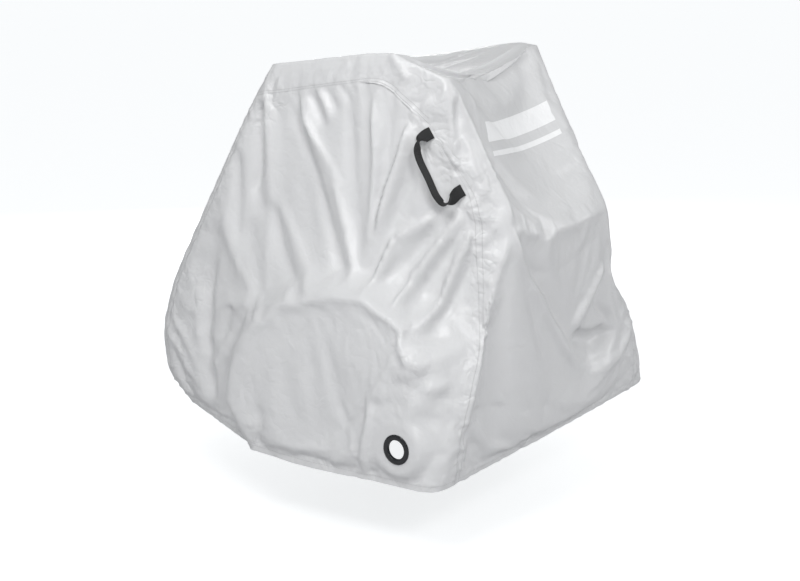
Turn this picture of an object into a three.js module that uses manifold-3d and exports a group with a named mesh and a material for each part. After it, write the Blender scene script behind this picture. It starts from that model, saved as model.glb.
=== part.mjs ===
// A fitted storage cover of thin coated cloth, shown draped: two side panels, one long centre
// panel that runs from the nose over the roof and down the rear, a webbing handle sewn into the
// near seam, and a plastic eyelet for a lock near the hem.
// Millimetres. x runs from the nose to the rear, y from the near side to the far side, z up.
// Heights in the tables are above the floor, and the finished group hangs from the point under
// its roof that carries it.
import * as THREE from "three";
import { mergeVertices } from "three/addons/utils/BufferGeometryUtils.js";
import Module from "manifold-3d";

const CLOTH_THICK = 2;
const SEAM_GAP = 0.3;

// How finely the cloth is divided.
const SIDE_COLUMNS = 30;
const SIDE_ROWS = 24;
const ACROSS_COLUMNS = 20;
const BAND_ROWS = 2;

// The cover's outline at eight levels, from the roof's edge down to the hem. Half widths are
// measured from the middle line. drop is how much lower the far side lies than the near one,
// and soft is how gently the cloth bends at that level, in levels.
const SECTIONS = [
  { name: "edge",  frontX: -283, frontHalf: 290, frontZ: 966, sideX:   50, sideHalf: 294, sideZ: 1015,
    nearX: 180, nearHalf: 270, nearZ: 962, farX:  35, farHalf: 290, farZ: 984, drop: 24, soft: 0.10 },
  { name: "seam",  frontX: -325, frontHalf: 300, frontZ: 900, sideX:   35, sideHalf: 318, sideZ:  915,
    nearX: 214, nearHalf: 262, nearZ: 866, farX: 104, farHalf: 278, farZ: 872, drop: 12, soft: 0.30 },
  { name: "upper", frontX: -380, frontHalf: 308, frontZ: 805, sideX:   20, sideHalf: 342, sideZ:  800,
    nearX: 254, nearHalf: 248, nearZ: 764, farX: 180, farHalf: 255, farZ: 765, drop:  6, soft: 0.40 },
  { name: "shelf", frontX: -463, frontHalf: 316, frontZ: 655, sideX:    5, sideHalf: 368, sideZ:  670,
    nearX: 305, nearHalf: 230, nearZ: 670, farX: 280, farHalf: 216, farZ: 646, drop:  0, soft: 0.20 },
  { name: "arch",  frontX: -566, frontHalf: 322, frontZ: 475, sideX:    0, sideHalf: 398, sideZ:  515,
    nearX: 290, nearHalf: 280, nearZ: 500, farX: 284, farHalf: 240, farZ: 500, drop:  0, soft: 0.35 },
  { name: "nose",  frontX: -612, frontHalf: 322, frontZ: 350, sideX:    0, sideHalf: 420, sideZ:  370,
    nearX: 286, nearHalf: 355, nearZ: 350, farX: 284, farHalf: 345, farZ: 355, drop:  0, soft: 0.40 },
  { name: "under", frontX: -600, frontHalf: 318, frontZ: 245, sideX:  -50, sideHalf: 432, sideZ:  240,
    nearX: 280, nearHalf: 402, nearZ: 240, farX: 279, farHalf: 395, farZ: 255, drop:  0, soft: 0.40 },
  { name: "hem",   frontX: -550, frontHalf: 300, frontZ: 197, sideX: -165, sideHalf: 432, sideZ:  150,
    nearX: 266, nearHalf: 424, nearZ: 152, farX: 268, farHalf: 418, farZ: 208, drop:  0, soft: 0.10 },
];
const HEM_LEVEL = SECTIONS.length - 1;

// Eight stations go round each level: 0 front middle, 1 near front corner, 2 near side, 3 near
// rear corner, 4 rear middle, then 5, 6 and 7 back along the far side to 8, the front middle.
const STATION_SOFT = [0.18, 0.16, 0.25, 0.11, 0.16, 0.12, 0.30, 0.16, 0.18];
const STATIONS = STATION_SOFT.length - 1;
const FRONT_BOW = 8;
const REAR_BOW = 4;

// The round bulge low on each side.
const ARCH = { nearX: 0, farX: -50, z: 255, radius: 275, fade: 55, topHalf: 415, lowHalf: 440 };
const ARCH_FRONT_TUCK = 0.003; // how fast its front edge draws in below its middle, per mm
const ARCH_HEM = { start: 220, height: 70, drawIn: 15 };

const ROOF_SAG = 20;

// Seams, as stations and levels.
const FRONT_SEAM = 1.05;
const YOKE_SEAM = { stations: [1.05, 1.5, 2.0, 2.3, 2.62], levels: [1.0, 0.75, 0.55, 0.8, 1.2], soft: 0.12 };
const REAR_SEAM = {
  levels: [1.2, 2.2, 3.1, 4.4, 7.0],
  stations: [2.62, 2.86, 2.82, 3.04, 3.18],
  soft: 0.3,
};
const REAR_CORNER = 3;

// Folds in the walls: each runs along its path of [station, level] points. A positive depth is
// a ridge and a negative one a valley, and width is its half width.
const WALL_FOLDS = [
  { name: "front pleat",        path: [[1.17, 1.6], [1.31, 2.4], [1.35, 2.9]], width: 16, depth: -14 },
  { name: "beside the pleat",   path: [[1.10, 0.6], [1.28, 1.8], [1.48, 2.9], [1.62, 4.0]], width: 16, depth: 7 },
  { name: "long valley",        path: [[1.33, 1.1], [1.53, 1.8], [1.72, 2.4], [1.95, 3.4], [2.06, 3.8]], width: 17, depth: -15 },
  { name: "long valley's lip",  path: [[1.58, 1.9], [1.78, 2.4], [1.98, 3.3]], width: 16, depth: 6 },
  { name: "short valley",       path: [[1.50, 2.9], [1.65, 3.4], [1.84, 4.0]], width: 16, depth: -10 },
  { name: "gather",             path: [[1.50, 0.8], [1.66, 1.7]], width: 14, depth: -9 },
  { name: "wide dip",           path: [[1.80, 0.8], [1.96, 2.5], [2.04, 3.4]], width: 20, depth: -9 },
  { name: "first rib",          path: [[2.00, 0.9], [2.09, 2.0], [2.12, 3.4]], width: 16, depth: 8 },
  { name: "narrow dip",         path: [[2.18, 1.0], [2.18, 2.0], [2.16, 2.7]], width: 14, depth: -9 },
  { name: "second rib",         path: [[2.38, 1.2], [2.33, 1.8], [2.24, 2.4], [2.16, 3.2]], width: 15, depth: 14 },
  { name: "under the handle",   path: [[2.45, 1.9], [2.37, 2.5], [2.24, 3.2]], width: 14, depth: -9 },
  { name: "first drag",         path: [[2.60, 2.7], [2.30, 3.2], [2.22, 3.8]], width: 18, depth: 9 },
  { name: "first drag's dip",   path: [[2.60, 3.0], [2.40, 3.4], [2.28, 3.8]], width: 18, depth: -7 },
  { name: "second drag",        path: [[2.75, 2.7], [2.60, 3.2], [2.47, 3.7], [2.45, 4.0]], width: 18, depth: 11 },
  { name: "second drag's dip",  path: [[2.72, 3.1], [2.56, 3.7], [2.56, 4.1]], width: 18, depth: -9 },
  { name: "third drag",         path: [[2.80, 2.9], [2.71, 3.6], [2.64, 4.2]], width: 18, depth: 11 },
  { name: "pocket",             path: [[2.66, 4.3], [2.82, 4.3]], width: 18, depth: -16 },
  { name: "pocket's curl",      path: [[2.62, 4.5], [2.72, 4.7], [2.80, 4.6]], width: 18, depth: 9 },
  { name: "rumple",             path: [[2.78, 4.8], [2.84, 5.1]], width: 20, depth: 9 },
  { name: "arch rim",           path: [[1.40, 5.4], [1.58, 4.8], [1.76, 4.2], [2.02, 4.0], [2.26, 3.95], [2.46, 4.1], [2.64, 4.3]], width: 18, depth: 9 },
  { name: "nose crease",        path: [[1.26, 4.1], [1.31, 4.9], [1.37, 5.8]], width: 16, depth: -15 },
  { name: "nose strip",         path: [[1.21, 4.1], [1.25, 4.8], [1.32, 5.6]], width: 13, depth: 9 },
  { name: "step before the arch", path: [[1.43, 4.3], [1.40, 5.0]], width: 14, depth: -10 },
  { name: "peak",               path: [[1.72, 3.8], [1.80, 4.1]], width: 12, depth: 10 },
  { name: "bulge dent",         path: [[2.14, 5.4], [2.30, 5.9]], width: 18, depth: -9 },
  { name: "bulge crease",       path: [[2.60, 4.5], [2.50, 4.9], [2.43, 5.4], [2.58, 6.8]], width: 13, depth: 7 },
  { name: "bulge band",         path: [[1.73, 5.7], [1.88, 6.8]], width: 20, depth: -8 },
  { name: "front dip",          path: [[1.12, 2.2], [1.36, 3.6]], width: 20, depth: -7 },
  { name: "nose ridge",         path: [[1.05, 4.9], [1.17, 5.4], [1.24, 5.9]], width: 12, depth: 8 },
  { name: "near corner ridge",  path: [[3.00, 0.0], [3.16, 1.2], [3.17, 2.2], [3.08, 3.0]], width: 13, depth: 7 },
  { name: "beside the corner",  path: [[3.02, 0.4], [2.94, 1.0], [2.86, 1.8]], width: 13, depth: -8 },
  { name: "print corner ridge", path: [[3.31, 0.2], [3.34, 0.7]], width: 12, depth: 7 },
  { name: "corner fan left",    path: [[3.06, 3.1], [3.02, 3.6], [3.02, 4.1], [3.08, 4.9]], width: 13, depth: 10 },
  { name: "corner fan right",   path: [[3.09, 3.0], [3.26, 3.4], [3.70, 4.0], [3.94, 4.5], [4.24, 5.4]], width: 15, depth: 15 },
  { name: "fan side valley",    path: [[2.98, 3.1], [2.90, 3.5]], width: 12, depth: -9 },
  { name: "shelf",              path: [[3.12, 3.05], [3.69, 3.25], [4.88, 3.0]], width: 14, depth: 8 },
  { name: "under the shelf",    path: [[3.30, 3.6], [4.00, 3.7], [4.70, 3.4]], width: 22, depth: -7 },
  { name: "far pocket ridge",   path: [[4.85, 3.7], [4.40, 4.3], [4.14, 4.6]], width: 15, depth: 11 },
  { name: "far pocket",         path: [[4.20, 4.75], [4.62, 4.9]], width: 18, depth: -20 },
  { name: "far waist",          path: [[4.80, 3.9], [4.58, 4.4], [4.72, 4.8]], width: 14, depth: -12 },
  { name: "far curl",           path: [[4.90, 4.8], [4.84, 5.1], [4.68, 5.4], [4.28, 5.5]], width: 14, depth: 12 },
  { name: "skirt crease",       path: [[3.12, 5.5], [3.96, 5.8]], width: 14, depth: -7 },
  { name: "rear dent",          path: [[3.40, 1.7], [3.66, 2.5]], width: 24, depth: -6 },
  { name: "top corner dip",     path: [[4.90, 0.3], [4.80, 1.1]], width: 20, depth: -8 },
  { name: "far valley",         path: [[6.60, 1.2], [6.30, 2.4], [6.10, 3.6]], width: 20, depth: -11 },
  { name: "far front valley",   path: [[6.80, 1.5], [6.60, 3.0], [6.45, 4.2]], width: 20, depth: -11 },
  { name: "far rear rib",       path: [[5.60, 1.4], [5.80, 2.4], [5.84, 3.4]], width: 20, depth: 10 },
  { name: "far drag",           path: [[5.20, 2.6], [5.45, 3.3], [5.60, 4.0]], width: 18, depth: 12 },
  { name: "far arch rim",       path: [[6.42, 4.9], [6.20, 4.2], [5.90, 4.0], [5.55, 4.2]], width: 16, depth: 8 },
  { name: "front long valley",  path: [[0.45, 0.6], [0.40, 2.4], [0.55, 4.2]], width: 22, depth: -10 },
  { name: "front cross drag",   path: [[0.85, 1.0], [0.20, 3.0], [7.60, 4.6]], width: 20, depth: 9 },
  { name: "front far valley",   path: [[7.50, 0.8], [7.60, 2.6], [7.45, 4.4]], width: 22, depth: -10 },
  { name: "front low dip",      path: [[0.60, 5.2], [0.00, 5.6], [7.50, 5.2]], width: 22, depth: -8 },
];

// Folds in the roof: [share from front to rear, share from near to far] points.
const ROOF_FOLDS = [
  { name: "cross bar",     path: [[0.50, 0.00], [0.66, 0.35], [0.98, 0.98]], width: 22, depth: 9 },
  { name: "behind the bar", path: [[0.72, 0.08], [0.95, 0.45]], width: 26, depth: -9 },
  { name: "roof puckers",  path: [[0.30, 0.02], [0.36, 0.25]], width: 16, depth: -6 },
  { name: "roof drag",     path: [[0.05, 0.10], [0.45, 0.55], [0.60, 0.90]], width: 22, depth: 6 },
];

// The eyelet, near the hem of the near side.
const EYELET = { station: 2.72, level: 6.08, outer: 63, hole: 40, flange: 2.6, barrelWall: 2.4, lip: 1.6 };
const EYELET_STEPS = 32;
const EYELET_FLAT = { full: 54, fade: 26, high: 40 };

// The webbing handle: its ends are sewn in flat at the rear seam, and between them it turns on
// edge and stands off the cloth. tilt is how far its middle leans from standing square to the cloth.
const HANDLE = {
  width: 25, thick: 2, tiltDegrees: 18, turnFrom: 0.06, turnTo: 0.28,
  top: { station: 2.63, level: 1.27 }, bottom: { station: 2.80, level: 2.28 },
};
// Its route in millimetres: run is beside the seam from the top end, where the last row is at the
// bottom end, left is away from the seam, and out is off the cloth.
const HANDLE_ROUTE = [
  { run:   0, left:  0, out:  1.3 },
  { run:   0, left: 12, out:  7.0 },
  { run:   5, left: 25, out: 19.0 },
  { run:  18, left: 36, out: 27.0 },
  { run:  36, left: 41, out: 30.0 },
  { run:  80, left: 44, out: 31.0 },
  { run: 120, left: 47, out: 30.0 },
  { run: 137, left: 42, out: 28.0 },
  { run: 139, left: 28, out: 20.0 },
  { run: 132, left: 12, out:  8.0 },
  { run: 131, left:  0, out:  1.3 },
];
const HANDLE_STEPS = 30;
const HANDLE_FLAT = { full: 28, fade: 16, high: 14 };

// The point under the roof that rests on what carries the cover.
const REST = { x: 30, y: 0, z: 975 };

const ramp = (x, soft) => (x <= -soft ? 0 : x >= soft ? x : (x + soft) ** 2 / (4 * soft));
const ease = (x) => {
  const t = Math.min(Math.max(x, 0), 1);
  return t * t * (3 - 2 * t);
};
const mix = (a, b, t) => a + (b - a) * t;

// Straight lines through the values at the knots, with each bend softened.
function bent(knots, values, softs, t) {
  const softAt = (k) => (Array.isArray(softs) ? softs[k] : softs);
  let slope = (values[1] - values[0]) / (knots[1] - knots[0]);
  let out = values[0] + slope * (t - knots[0]);
  for (let k = 1; k < knots.length - 1; k++) {
    const next = (values[k + 1] - values[k]) / (knots[k + 1] - knots[k]);
    out += (next - slope) * ramp(t - knots[k], softAt(k));
    slope = next;
  }
  return out;
}

const LEVELS = SECTIONS.map((row, k) => k);
const LEVEL_SOFT = SECTIONS.map((row) => row.soft);
const AROUND = STATION_SOFT.map((soft, k) => k);

// The eight corner points of the outline at one level, and the first again at the end.
function stationsAt(level) {
  const at = (column) => bent(LEVELS, SECTIONS.map((row) => row[column]), LEVEL_SOFT, level);
  const drop = at("drop");
  const front = [at("frontX") - FRONT_BOW, 0, at("frontZ") - drop / 2];
  const near = [at("nearX"), -at("nearHalf"), at("nearZ")];
  const far = [at("farX"), at("farHalf"), at("farZ")];
  return [
    front,
    [at("frontX"), -at("frontHalf"), at("frontZ")],
    [at("sideX"), -at("sideHalf"), at("sideZ")],
    near,
    [(near[0] + far[0]) / 2 + REAR_BOW, (near[1] + far[1]) / 2, (near[2] + far[2]) / 2],
    far,
    [at("sideX") - (near[0] - far[0]) / 2, at("sideHalf"), at("sideZ") - drop],
    [at("frontX"), at("frontHalf"), at("frontZ") - drop],
    front,
  ];
}

// A point on the walls, before any fold.
function wallPoint(station, level) {
  const corners = stationsAt(level);
  const [x, y, z] = [0, 1, 2].map((axis) =>
    bent(AROUND, corners.map((corner) => corner[axis]), STATION_SOFT, station));
  const nearSide = y < 0;
  const archX = nearSide ? ARCH.nearX : ARCH.farX;
  const below = Math.max(ARCH.z - z, 0);
  const tuck = x < 0 ? 1 + ARCH_FRONT_TUCK * below : 1;
  const away = Math.hypot((x - archX) * tuck, Math.max(z - ARCH.z, 0));
  const weight = ease((ARCH.radius + ARCH.fade - away) / ARCH.fade);
  const half = mix(ARCH.topHalf, ARCH.lowHalf, ease((ARCH.z + ARCH.radius - z) / ARCH.radius))
    - ARCH_HEM.drawIn * ease((ARCH_HEM.start - z) / ARCH_HEM.height);
  const fromSide = Math.min(Math.abs(station - 2), Math.abs(station - (STATIONS - 2)));
  const onSide = ease((0.98 - fromSide) / 0.25);
  const push = Math.max(half - Math.abs(y), 0) * weight * onSide;
  return new THREE.Vector3(x, y + (nearSide ? -push : push), z);
}

// A point on the roof: a patch stretched between the four parts of the roof's edge.
function roofPoint(along, across) {
  const nearAt = (t) => wallPoint(mix(FRONT_SEAM, REAR_CORNER, t), 0);
  const farAt = (t) => wallPoint(STATIONS - mix(FRONT_SEAM, REAR_CORNER, t), 0);
  const frontAt = (t) => wallPoint(frontStation(t), 0);
  const rearAt = (t) => wallPoint(rearStation(REAR_CORNER, t), 0);
  const point = new THREE.Vector3();
  const add = (p, share) => point.addScaledVector(p, share);
  add(nearAt(along), 1 - across);
  add(farAt(along), across);
  add(frontAt(across), 1 - along);
  add(rearAt(across), along);
  add(nearAt(0), -(1 - along) * (1 - across));
  add(nearAt(1), -along * (1 - across));
  add(farAt(0), -(1 - along) * across);
  add(farAt(1), -along * across);
  point.z -= ROOF_SAG * Math.sin(Math.PI * along) * Math.sin(Math.PI * across);
  return point;
}

// Stations across the front and the rear, from the near seam to the far seam.
const frontStation = (t) => (t < 0.5 ? mix(FRONT_SEAM, 0, 2 * t) : mix(STATIONS, STATIONS - FRONT_SEAM, 2 * t - 1));
const rearStation = (nearEnd, t) => mix(nearEnd, STATIONS - nearEnd, t);

// Where the seams run.
const yokeLevel = (station) => bent(YOKE_SEAM.stations, YOKE_SEAM.levels, YOKE_SEAM.soft, station);
const YOKE_END = YOKE_SEAM.stations[YOKE_SEAM.stations.length - 1];
const YOKE_END_LEVEL = YOKE_SEAM.levels[YOKE_SEAM.levels.length - 1];
const rearSeam = (level) =>
  level < YOKE_END_LEVEL
    ? mix(REAR_CORNER, YOKE_END, level / YOKE_END_LEVEL)
    : bent(REAR_SEAM.levels, REAR_SEAM.stations, REAR_SEAM.soft, level);

// Row heights: the rows above the yoke seam, then the rows down to the hem.
const rowLevel = (seamLevel, row) =>
  row < BAND_ROWS
    ? (seamLevel * row) / BAND_ROWS
    : mix(seamLevel, HEM_LEVEL, (row - BAND_ROWS) / SIDE_ROWS);
const ALL_ROWS = BAND_ROWS + SIDE_ROWS;

// The places of the patches' grid points, each worked out from its column and row.
function sidePlace(column, row, far) {
  const share = column / SIDE_COLUMNS;
  const seamStation = mix(FRONT_SEAM, YOKE_END, share);
  const level = rowLevel(yokeLevel(seamStation), row);
  const station = mix(FRONT_SEAM, rearSeam(rowLevel(YOKE_END_LEVEL, row)), share);
  return wallPoint(far ? STATIONS - station : station, level);
}
function frontPlace(column, row) {
  return wallPoint(frontStation(column / ACROSS_COLUMNS), rowLevel(yokeLevel(FRONT_SEAM), row));
}
function rearPlace(column, row) {
  const level = rowLevel(YOKE_END_LEVEL, row);
  return wallPoint(rearStation(rearSeam(level), column / ACROSS_COLUMNS), level);
}
function roofPlace(column, row) {
  return roofPoint(row / SIDE_COLUMNS, column / ACROSS_COLUMNS);
}

// One welded skin of the whole cover, each square marked with the panel that it belongs to.
const skin = { points: [], squares: [], ids: new Map() };
function pointId(p) {
  const key = [p.x, p.y, p.z].map((v) => Math.round(v * 50)).join(" ");
  if (!skin.ids.has(key)) {
    skin.ids.set(key, skin.points.length);
    skin.points.push(p);
  }
  return skin.ids.get(key);
}
function addPatch(columns, rows, place, panelOf, flip) {
  const ids = [];
  for (let row = 0; row <= rows; row++) {
    ids.push([]);
    for (let column = 0; column <= columns; column++) ids[row].push(pointId(place(column, row)));
  }
  for (let row = 0; row < rows; row++) {
    for (let column = 0; column < columns; column++) {
      const corners = [ids[row][column], ids[row + 1][column], ids[row + 1][column + 1], ids[row][column + 1]];
      if (flip) corners.reverse();
      skin.squares.push({ corners, panel: panelOf(row) });
    }
  }
}
const CENTRE = "centre_panel";
const NEAR = "near_side_panel";
const FAR = "far_side_panel";
const sidePanel = (name) => (row) => (row < BAND_ROWS ? CENTRE : name);
const centrePanel = () => CENTRE;
addPatch(SIDE_COLUMNS, ALL_ROWS, (c, r) => sidePlace(c, r, false), sidePanel(NEAR), false);
addPatch(SIDE_COLUMNS, ALL_ROWS, (c, r) => sidePlace(c, r, true), sidePanel(FAR), true);
addPatch(ACROSS_COLUMNS, ALL_ROWS, frontPlace, centrePanel, true);
addPatch(ACROSS_COLUMNS, ALL_ROWS, rearPlace, centrePanel, false);
addPatch(ACROSS_COLUMNS, SIDE_COLUMNS, roofPlace, centrePanel, false);

// Each square as two triangles, cut along its shorter diagonal.
function trianglesOf([a, b, c, d], points) {
  return points[a].distanceTo(points[c]) < points[b].distanceTo(points[d])
    ? [[a, b, c], [a, c, d]]
    : [[a, b, d], [b, c, d]];
}
function normalsOf(points, squares) {
  const normals = points.map(() => new THREE.Vector3());
  const side = new THREE.Vector3();
  const other = new THREE.Vector3();
  for (const { corners } of squares) {
    for (const [a, b, c] of trianglesOf(corners, points)) {
      side.subVectors(points[b], points[a]);
      other.subVectors(points[c], points[a]);
      side.cross(other);
      for (const id of [a, b, c]) normals[id].add(side);
    }
  }
  return normals.map((n) => n.normalize());
}

// The folds: each moves the cloth along its own normal, by its distance from the fold's line.
const FOLD_STEPS = 8;
function foldLine(path, pointAt) {
  const line = [];
  for (let k = 0; k < path.length - 1; k++) {
    const [from, to] = [path[k], path[k + 1]];
    const wraps = Math.abs(to[0] - from[0]) > STATIONS / 2;
    const end = wraps ? to[0] - Math.sign(to[0] - from[0]) * STATIONS : to[0];
    for (let step = k ? 1 : 0; step <= FOLD_STEPS; step++) {
      const station = mix(from[0], end, step / FOLD_STEPS);
      line.push(pointAt((station + STATIONS) % STATIONS, mix(from[1], to[1], step / FOLD_STEPS)));
    }
  }
  return line;
}
const END_SHARE = 0.18; // the part of a fold's length over which it dies away at each end
const EVENING_PASSES = 4; // so that neighbouring points of a sharp corner move the same way
const segment = new THREE.Line3();
const nearest = new THREE.Vector3();
function foldHeight(p, fold) {
  let best = Infinity;
  let along = 0;
  const last = fold.line.length - 1;
  for (let k = 0; k < last; k++) {
    segment.set(fold.line[k], fold.line[k + 1]);
    const share = segment.closestPointToPointParameter(p, true);
    const away = segment.at(share, nearest).distanceTo(p);
    if (away < best) {
      best = away;
      along = (k + share) / last;
    }
  }
  if (best > 3 * fold.width) return 0;
  const ends = ease((Math.min(along, 1 - along) + 0.04) / END_SHARE);
  return fold.depth * ends * Math.exp(-((best / fold.width) ** 2));
}
const folds = [
  ...WALL_FOLDS.map((fold) => ({ ...fold, line: foldLine(fold.path, wallPoint) })),
  ...ROOF_FOLDS.map((fold) => ({ ...fold, line: foldLine(fold.path, roofPoint) })),
];
function evened(vectors, squares) {
  const sums = vectors.map((v) => v.clone());
  for (const { corners } of squares) {
    corners.forEach((id, k) => sums[id].add(vectors[corners[(k + 1) % 4]]).add(vectors[corners[(k + 3) % 4]]));
  }
  return sums.map((v) => v.normalize());
}
let foldDirections = normalsOf(skin.points, skin.squares);
for (let pass = 0; pass < EVENING_PASSES; pass++) foldDirections = evened(foldDirections, skin.squares);
const folded = skin.points.map((p, id) => {
  const height = folds.reduce((sum, fold) => sum + foldHeight(p, fold), 0);
  return p.clone().addScaledVector(foldDirections[id], height);
});

// Flat spots, where the eyelet is set and where the handle's ends are sewn.
function frameAt(station, level) {
  const step = 0.02;
  const centre = wallPoint(station, level);
  const along = wallPoint(station + step, level).sub(centre).normalize();
  const down = wallPoint(station, level + step).sub(centre).normalize();
  const out = new THREE.Vector3().crossVectors(down, along).normalize();
  return { centre, along, out, down: new THREE.Vector3().crossVectors(along, out).normalize() };
}
function flatten(spot, { full, fade, high }) {
  for (const p of folded) {
    const offset = p.clone().sub(spot.centre);
    const lift = offset.dot(spot.out);
    const away = Math.sqrt(Math.max(offset.lengthSq() - lift * lift, 0));
    const weight = ease((full + fade - away) / fade) * ease((2 * high - Math.abs(lift)) / high);
    p.addScaledVector(spot.out, -lift * weight);
  }
}
const eyeletSpot = frameAt(EYELET.station, EYELET.level);
const handleSpots = [HANDLE.top, HANDLE.bottom].map(({ station, level }) => frameAt(station, level));
flatten(eyeletSpot, EYELET_FLAT);
handleSpots.forEach((spot) => flatten(spot, HANDLE_FLAT));
const normals = normalsOf(folded, skin.squares);

// A panel cut out of the skin: its edges drawn back by half a seam gap, then given the cloth's
// thickness inwards, so that its outer face stays where the skin is.
function cutPanel(name) {
  const own = skin.squares.filter((square) => square.panel === name);
  const edges = new Map();
  const inside = new Map();
  for (const { corners } of own) {
    corners.forEach((a, k) => {
      const b = corners[(k + 1) % 4];
      if (edges.has(`${b} ${a}`)) edges.delete(`${b} ${a}`);
      else edges.set(`${a} ${b}`, [a, b]);
      if (!inside.has(a)) inside.set(a, new THREE.Vector3());
      for (const other of corners) inside.get(a).add(folded[other]).sub(folded[a]);
    });
  }
  const rim = new Set([...edges.values()].flat());
  const index = new Map([...inside.keys()].map((id, k) => [id, k]));
  const positions = [];
  for (const depth of [0, CLOTH_THICK]) {
    for (const [id, inward] of inside) {
      const p = folded[id].clone();
      if (rim.has(id)) p.addScaledVector(inward.clone().projectOnPlane(normals[id]).normalize(), SEAM_GAP / 2);
      p.addScaledVector(normals[id], -depth);
      positions.push(p.x, p.y, p.z);
    }
  }
  const count = index.size;
  const triangles = [];
  for (const { corners } of own) {
    for (const [a, b, c] of trianglesOf(corners, folded)) {
      const [i, j, k] = [index.get(a), index.get(b), index.get(c)];
      triangles.push(i, j, k, i + count, k + count, j + count);
    }
  }
  for (const [a, b] of edges.values()) {
    const [i, j] = [index.get(a), index.get(b)];
    triangles.push(i, i + count, j, j, i + count, j + count);
  }
  return new THREE.BufferGeometry()
    .setAttribute("position", new THREE.BufferAttribute(new Float32Array(positions), 3))
    .setIndex(triangles);
}

const wasm = await Module();
wasm.setup();
function toSolid(geometry) {
  const bare = geometry.clone();
  bare.deleteAttribute("normal");
  bare.deleteAttribute("uv");
  const merged = mergeVertices(bare, 1e-4);
  return new wasm.Manifold(new wasm.Mesh({
    numProp: 3,
    vertProperties: merged.attributes.position.array,
    triVerts: new Uint32Array(merged.index.array),
  }));
}
function toGeometry(solid) {
  const mesh = solid.getMesh();
  return new THREE.BufferGeometry()
    .setAttribute("position", new THREE.BufferAttribute(new Float32Array(mesh.vertProperties), 3))
    .setIndex(new THREE.BufferAttribute(new Uint32Array(mesh.triVerts), 1));
}

// Turns a shape made about the y axis so that y points out of the cloth at a spot.
function seat(geometry, spot, high) {
  const turn = new THREE.Matrix4().makeBasis(spot.along, spot.out, spot.down);
  turn.setPosition(spot.centre.clone().addScaledVector(spot.out, high));
  return geometry.applyMatrix4(turn);
}

// The eyelet: a flange on each face of the cloth, joined by a barrel through the hole.
function eyeletShape() {
  const clear = SEAM_GAP;
  const hole = EYELET.hole / 2;
  const outer = EYELET.outer / 2;
  const barrel = hole + EYELET.barrelWall;
  const top = clear + EYELET.flange;
  const low = -CLOTH_THICK - clear - EYELET.flange;
  const profile = [
    [hole, low + EYELET.lip], [hole + EYELET.lip, low], [outer - EYELET.lip, low],
    [outer, low + EYELET.flange / 2], [outer, -CLOTH_THICK - clear], [barrel, -CLOTH_THICK - clear],
    [barrel, clear], [outer, clear], [outer, top - EYELET.flange / 2],
    [outer - EYELET.lip, top], [hole + EYELET.lip, top], [hole, top - EYELET.lip],
    [hole, low + EYELET.lip],
  ].map(([r, y]) => new THREE.Vector2(r, y));
  return seat(new THREE.LatheGeometry(profile, EYELET_STEPS), eyeletSpot, 0);
}
function eyeletCutter() {
  const radius = EYELET.hole / 2 + EYELET.barrelWall + SEAM_GAP;
  return seat(new THREE.CylinderGeometry(radius, radius, 8 * CLOTH_THICK, EYELET_STEPS), eyeletSpot, 0);
}

// The handle: flat webbing that leaves the cloth, turns on edge, runs beside the seam and comes back.
function handleShape() {
  const [top, bottom] = handleSpots;
  const reach = bottom.centre.distanceTo(top.centre);
  const run = bottom.centre.clone().sub(top.centre).normalize();
  const outAt = (share) => top.out.clone().lerp(bottom.out, share).normalize();
  const leftAt = (share) => new THREE.Vector3().crossVectors(run, outAt(share)).normalize();
  const stops = HANDLE_ROUTE.map((row) => {
    const share = Math.min(row.run / reach, 1);
    return top.centre.clone()
      .addScaledVector(run, row.run)
      .addScaledVector(leftAt(share), row.left)
      .addScaledVector(outAt(share), row.out);
  });
  const route = new THREE.CatmullRomCurve3(stops, false, "centripetal");
  const tilt = THREE.MathUtils.degToRad(HANDLE.tiltDegrees);
  const turnedBy = (share) => ease((share - HANDLE.turnFrom) / (HANDLE.turnTo - HANDLE.turnFrom));
  const positions = [];
  for (let step = 0; step <= HANDLE_STEPS; step++) {
    const share = step / HANDLE_STEPS;
    const left = leftAt(share);
    const seamWay = new THREE.Vector3().crossVectors(outAt(share), left);
    const atEnd = step === 0 || step === HANDLE_STEPS;
    const tangent = atEnd ? left.clone().multiplyScalar(step ? -1 : 1) : route.getTangent(share);
    const onEdge = outAt(share).multiplyScalar(Math.cos(tilt)).addScaledVector(left, Math.sin(tilt));
    const turn = (Math.PI / 2) * (turnedBy(share) + 1 - turnedBy(1 - share));
    const flat = seamWay.multiplyScalar(Math.cos(turn)).addScaledVector(onEdge, Math.sin(turn))
      .projectOnPlane(tangent).normalize();
    const face = new THREE.Vector3().crossVectors(tangent, flat).normalize();
    const centre = route.getPoint(share);
    for (const [w, t] of [[-1, -1], [-1, 1], [1, 1], [1, -1]]) {
      const p = centre.clone()
        .addScaledVector(flat, (w * HANDLE.width) / 2)
        .addScaledVector(face, (t * HANDLE.thick) / 2);
      positions.push(p.x, p.y, p.z);
    }
  }
  const triangles = [0, 1, 2, 0, 2, 3];
  for (let step = 0; step < HANDLE_STEPS; step++) {
    for (let k = 0; k < 4; k++) {
      const a = 4 * step + k;
      const b = 4 * step + ((k + 1) % 4);
      triangles.push(a, a + 4, b, b, a + 4, b + 4);
    }
  }
  const end = 4 * HANDLE_STEPS;
  triangles.push(end, end + 2, end + 1, end, end + 3, end + 2);
  return new THREE.BufferGeometry()
    .setAttribute("position", new THREE.BufferAttribute(new Float32Array(positions), 3))
    .setIndex(triangles);
}

const silver = () => new THREE.MeshStandardMaterial({ color: 0xd3d4d4, roughness: 0.55, metalness: 0 });
const blackWebbing = new THREE.MeshStandardMaterial({ color: 0x1b1c1d, roughness: 0.8, metalness: 0 });
const blackPlastic = new THREE.MeshStandardMaterial({ color: 0x17181a, roughness: 0.25, metalness: 0 });

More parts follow.
